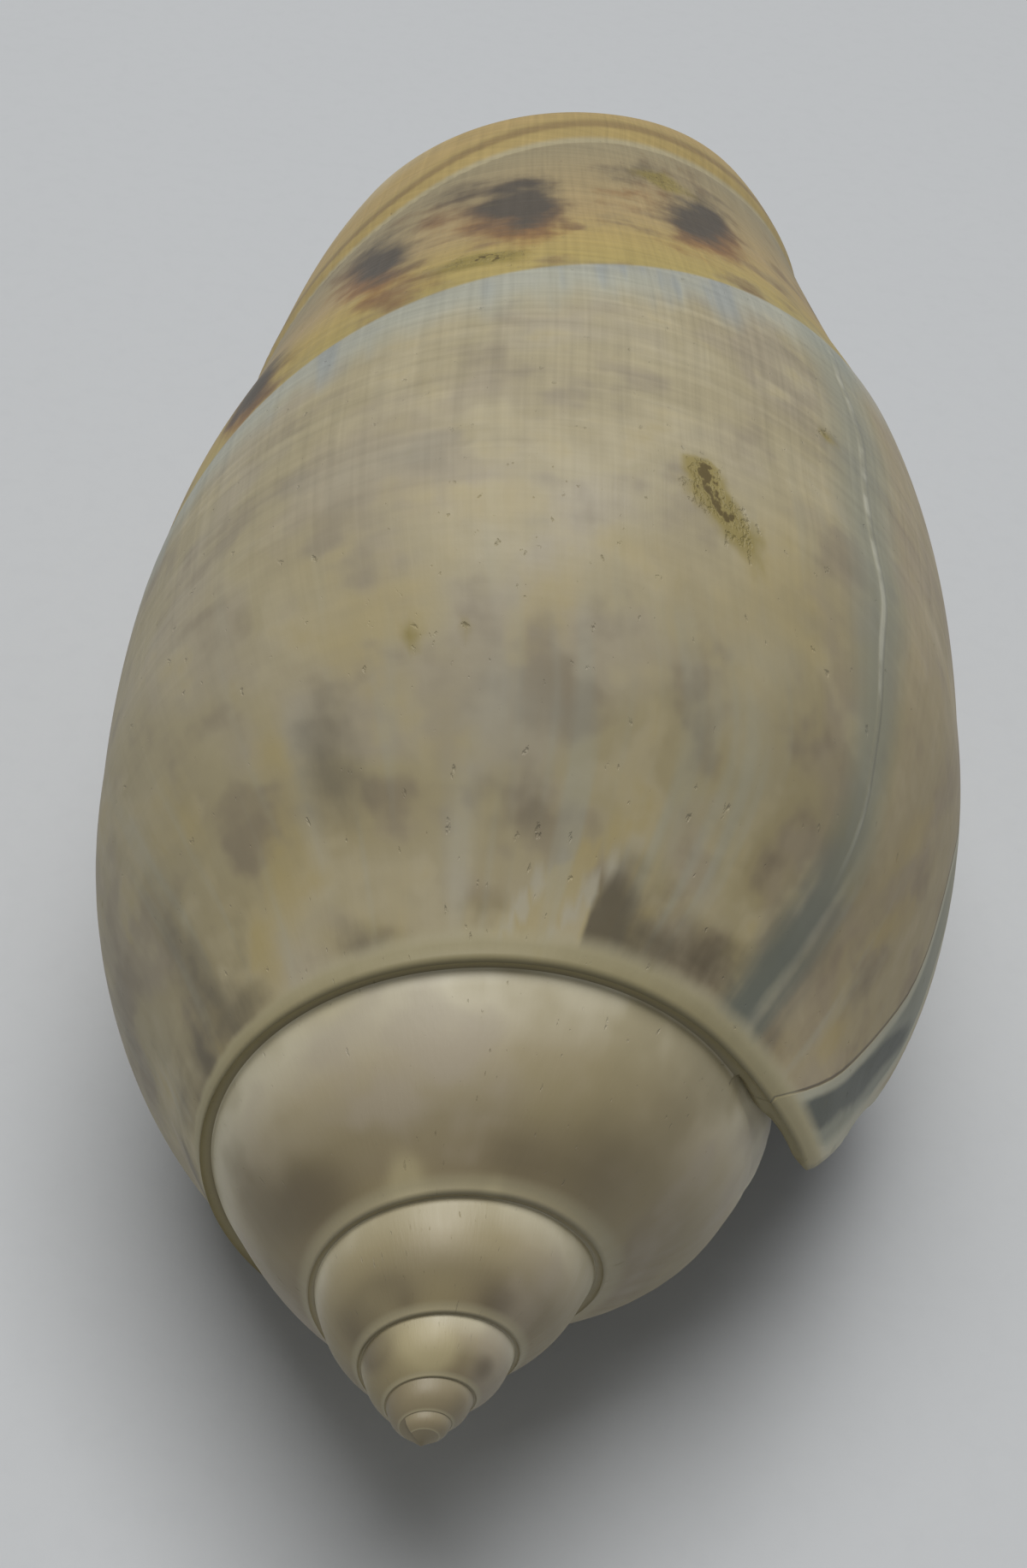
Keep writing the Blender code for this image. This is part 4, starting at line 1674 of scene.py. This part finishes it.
        front = smooth_step(*self.callus_heights, height)
        start, full = (at - lead * front for at, lead in zip(self.callus_turns, self.callus_lead))
        callus = smooth_step(start, full, turn)
        honey = self.honey * smooth_step(*self.honey_turns, turn)
        rust = self.rust * total(BLOTCHES, self.rust_lift)
        maps = {
            "marks": (total(DARK_MARKS), total(WARM_MARKS), total(BLOTCHES)),
            "tones": (callus, total(BROWN_MARKS), honey),
            "stains": (total(STAINS), rust, total(PALE_MARKS)),
        }
        for name, channels in maps.items():
            layer = mesh.attributes.new(name, "FLOAT_COLOR", "CORNER")
            values = np.stack([*channels, np.ones_like(turn)], axis=1)
            layer.data.foreach_set("color", values.ravel())


# ---------------------------------------------------------------- the studio


@dataclass
class Studio:
    """Pale paper, soft light from above and behind, and the camera."""

    lens_mm: float = 46.37
    sensor_mm: float = 36.0
    nearest: float = 0.001
    eye: Point = (-0.0058, -0.4655, 0.7438)
    right: Point = (0.9964, 0.0308, 0.0788)
    down: Point = (0.0803, -0.6352, -0.7682)
    ahead: Point = (0.0264, 0.7717, -0.6354)
    floor_size: float = 1.6
    room_colour: str = "#F4F6F6"
    room_light: float = 0.25
    window_place: Point = (-0.04, 0.08, 0.80)
    window_size: float = 0.55
    window_power: float = 5.5
    aim: Point = (0.0, 0.0, 0.01)

    def floor(self) -> None:
        """Lays the paper under the shell."""
        bpy.ops.mesh.primitive_plane_add(size=self.floor_size, location=(0, 0, 0))
        paper = bpy.context.object
        paper.name = "paper"
        paper.data.materials.append(PaperFinish().build())

    def lights(self) -> None:
        """Hangs a broad soft light above the shell, in a dim pale room."""
        scene = bpy.context.scene
        world = bpy.data.worlds.new("soft room")
        world.use_nodes = True
        room = world.node_tree.nodes["Background"].inputs
        room[0].default_value = linear(self.room_colour)
        room[1].default_value = self.room_light
        scene.world = world
        data = bpy.data.lights.new("window light", "AREA")
        data.size = self.window_size
        data.energy = self.window_power
        lamp = bpy.data.objects.new("window light", data)
        lamp.location = self.window_place
        aim = Vector(self.aim) - Vector(self.window_place)
        lamp.rotation_euler = aim.to_track_quat("-Z", "Y").to_euler()
        scene.collection.objects.link(lamp)

    def camera(self, shell: OliveShell) -> None:
        """Sets the camera, which is placed by the shell's own axes.

        Args:
            shell: The shell that it looks at.
        """
        data = bpy.data.cameras.new("camera")
        data.lens = self.lens_mm
        data.sensor_width = self.sensor_mm
        data.clip_start = self.nearest
        camera = bpy.data.objects.new("camera", data)
        bpy.context.scene.collection.objects.link(camera)
        axes = Matrix((self.right, [-c for c in self.down], [-c for c in self.ahead])).transposed()
        own = Matrix.Translation([shell.length * c for c in self.eye]) @ axes.to_4x4()
        placed = shell.placed @ own
        turn = placed.to_quaternion()
        camera.matrix_world = Matrix.Translation(placed.translation) @ turn.to_matrix().to_4x4()
        bpy.context.scene.camera = camera
        bpy.context.scene.view_settings.view_transform = "Standard"


def main() -> None:
    """Builds the shell, dresses it, and sets the studio around it."""
    logging.basicConfig(level=logging.INFO, format="%(name)s: %(message)s")
    maker = OliveShell()
    shell = maker.build()
    maker.dress(shell)
    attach(shell, BODY)
    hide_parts(NODE)
    log.info("shell modelled and dressed")
    studio = Studio()
    studio.floor()
    studio.lights()
    studio.camera(maker)
    log.info("studio set")


if __name__ == "__main__":
    main()
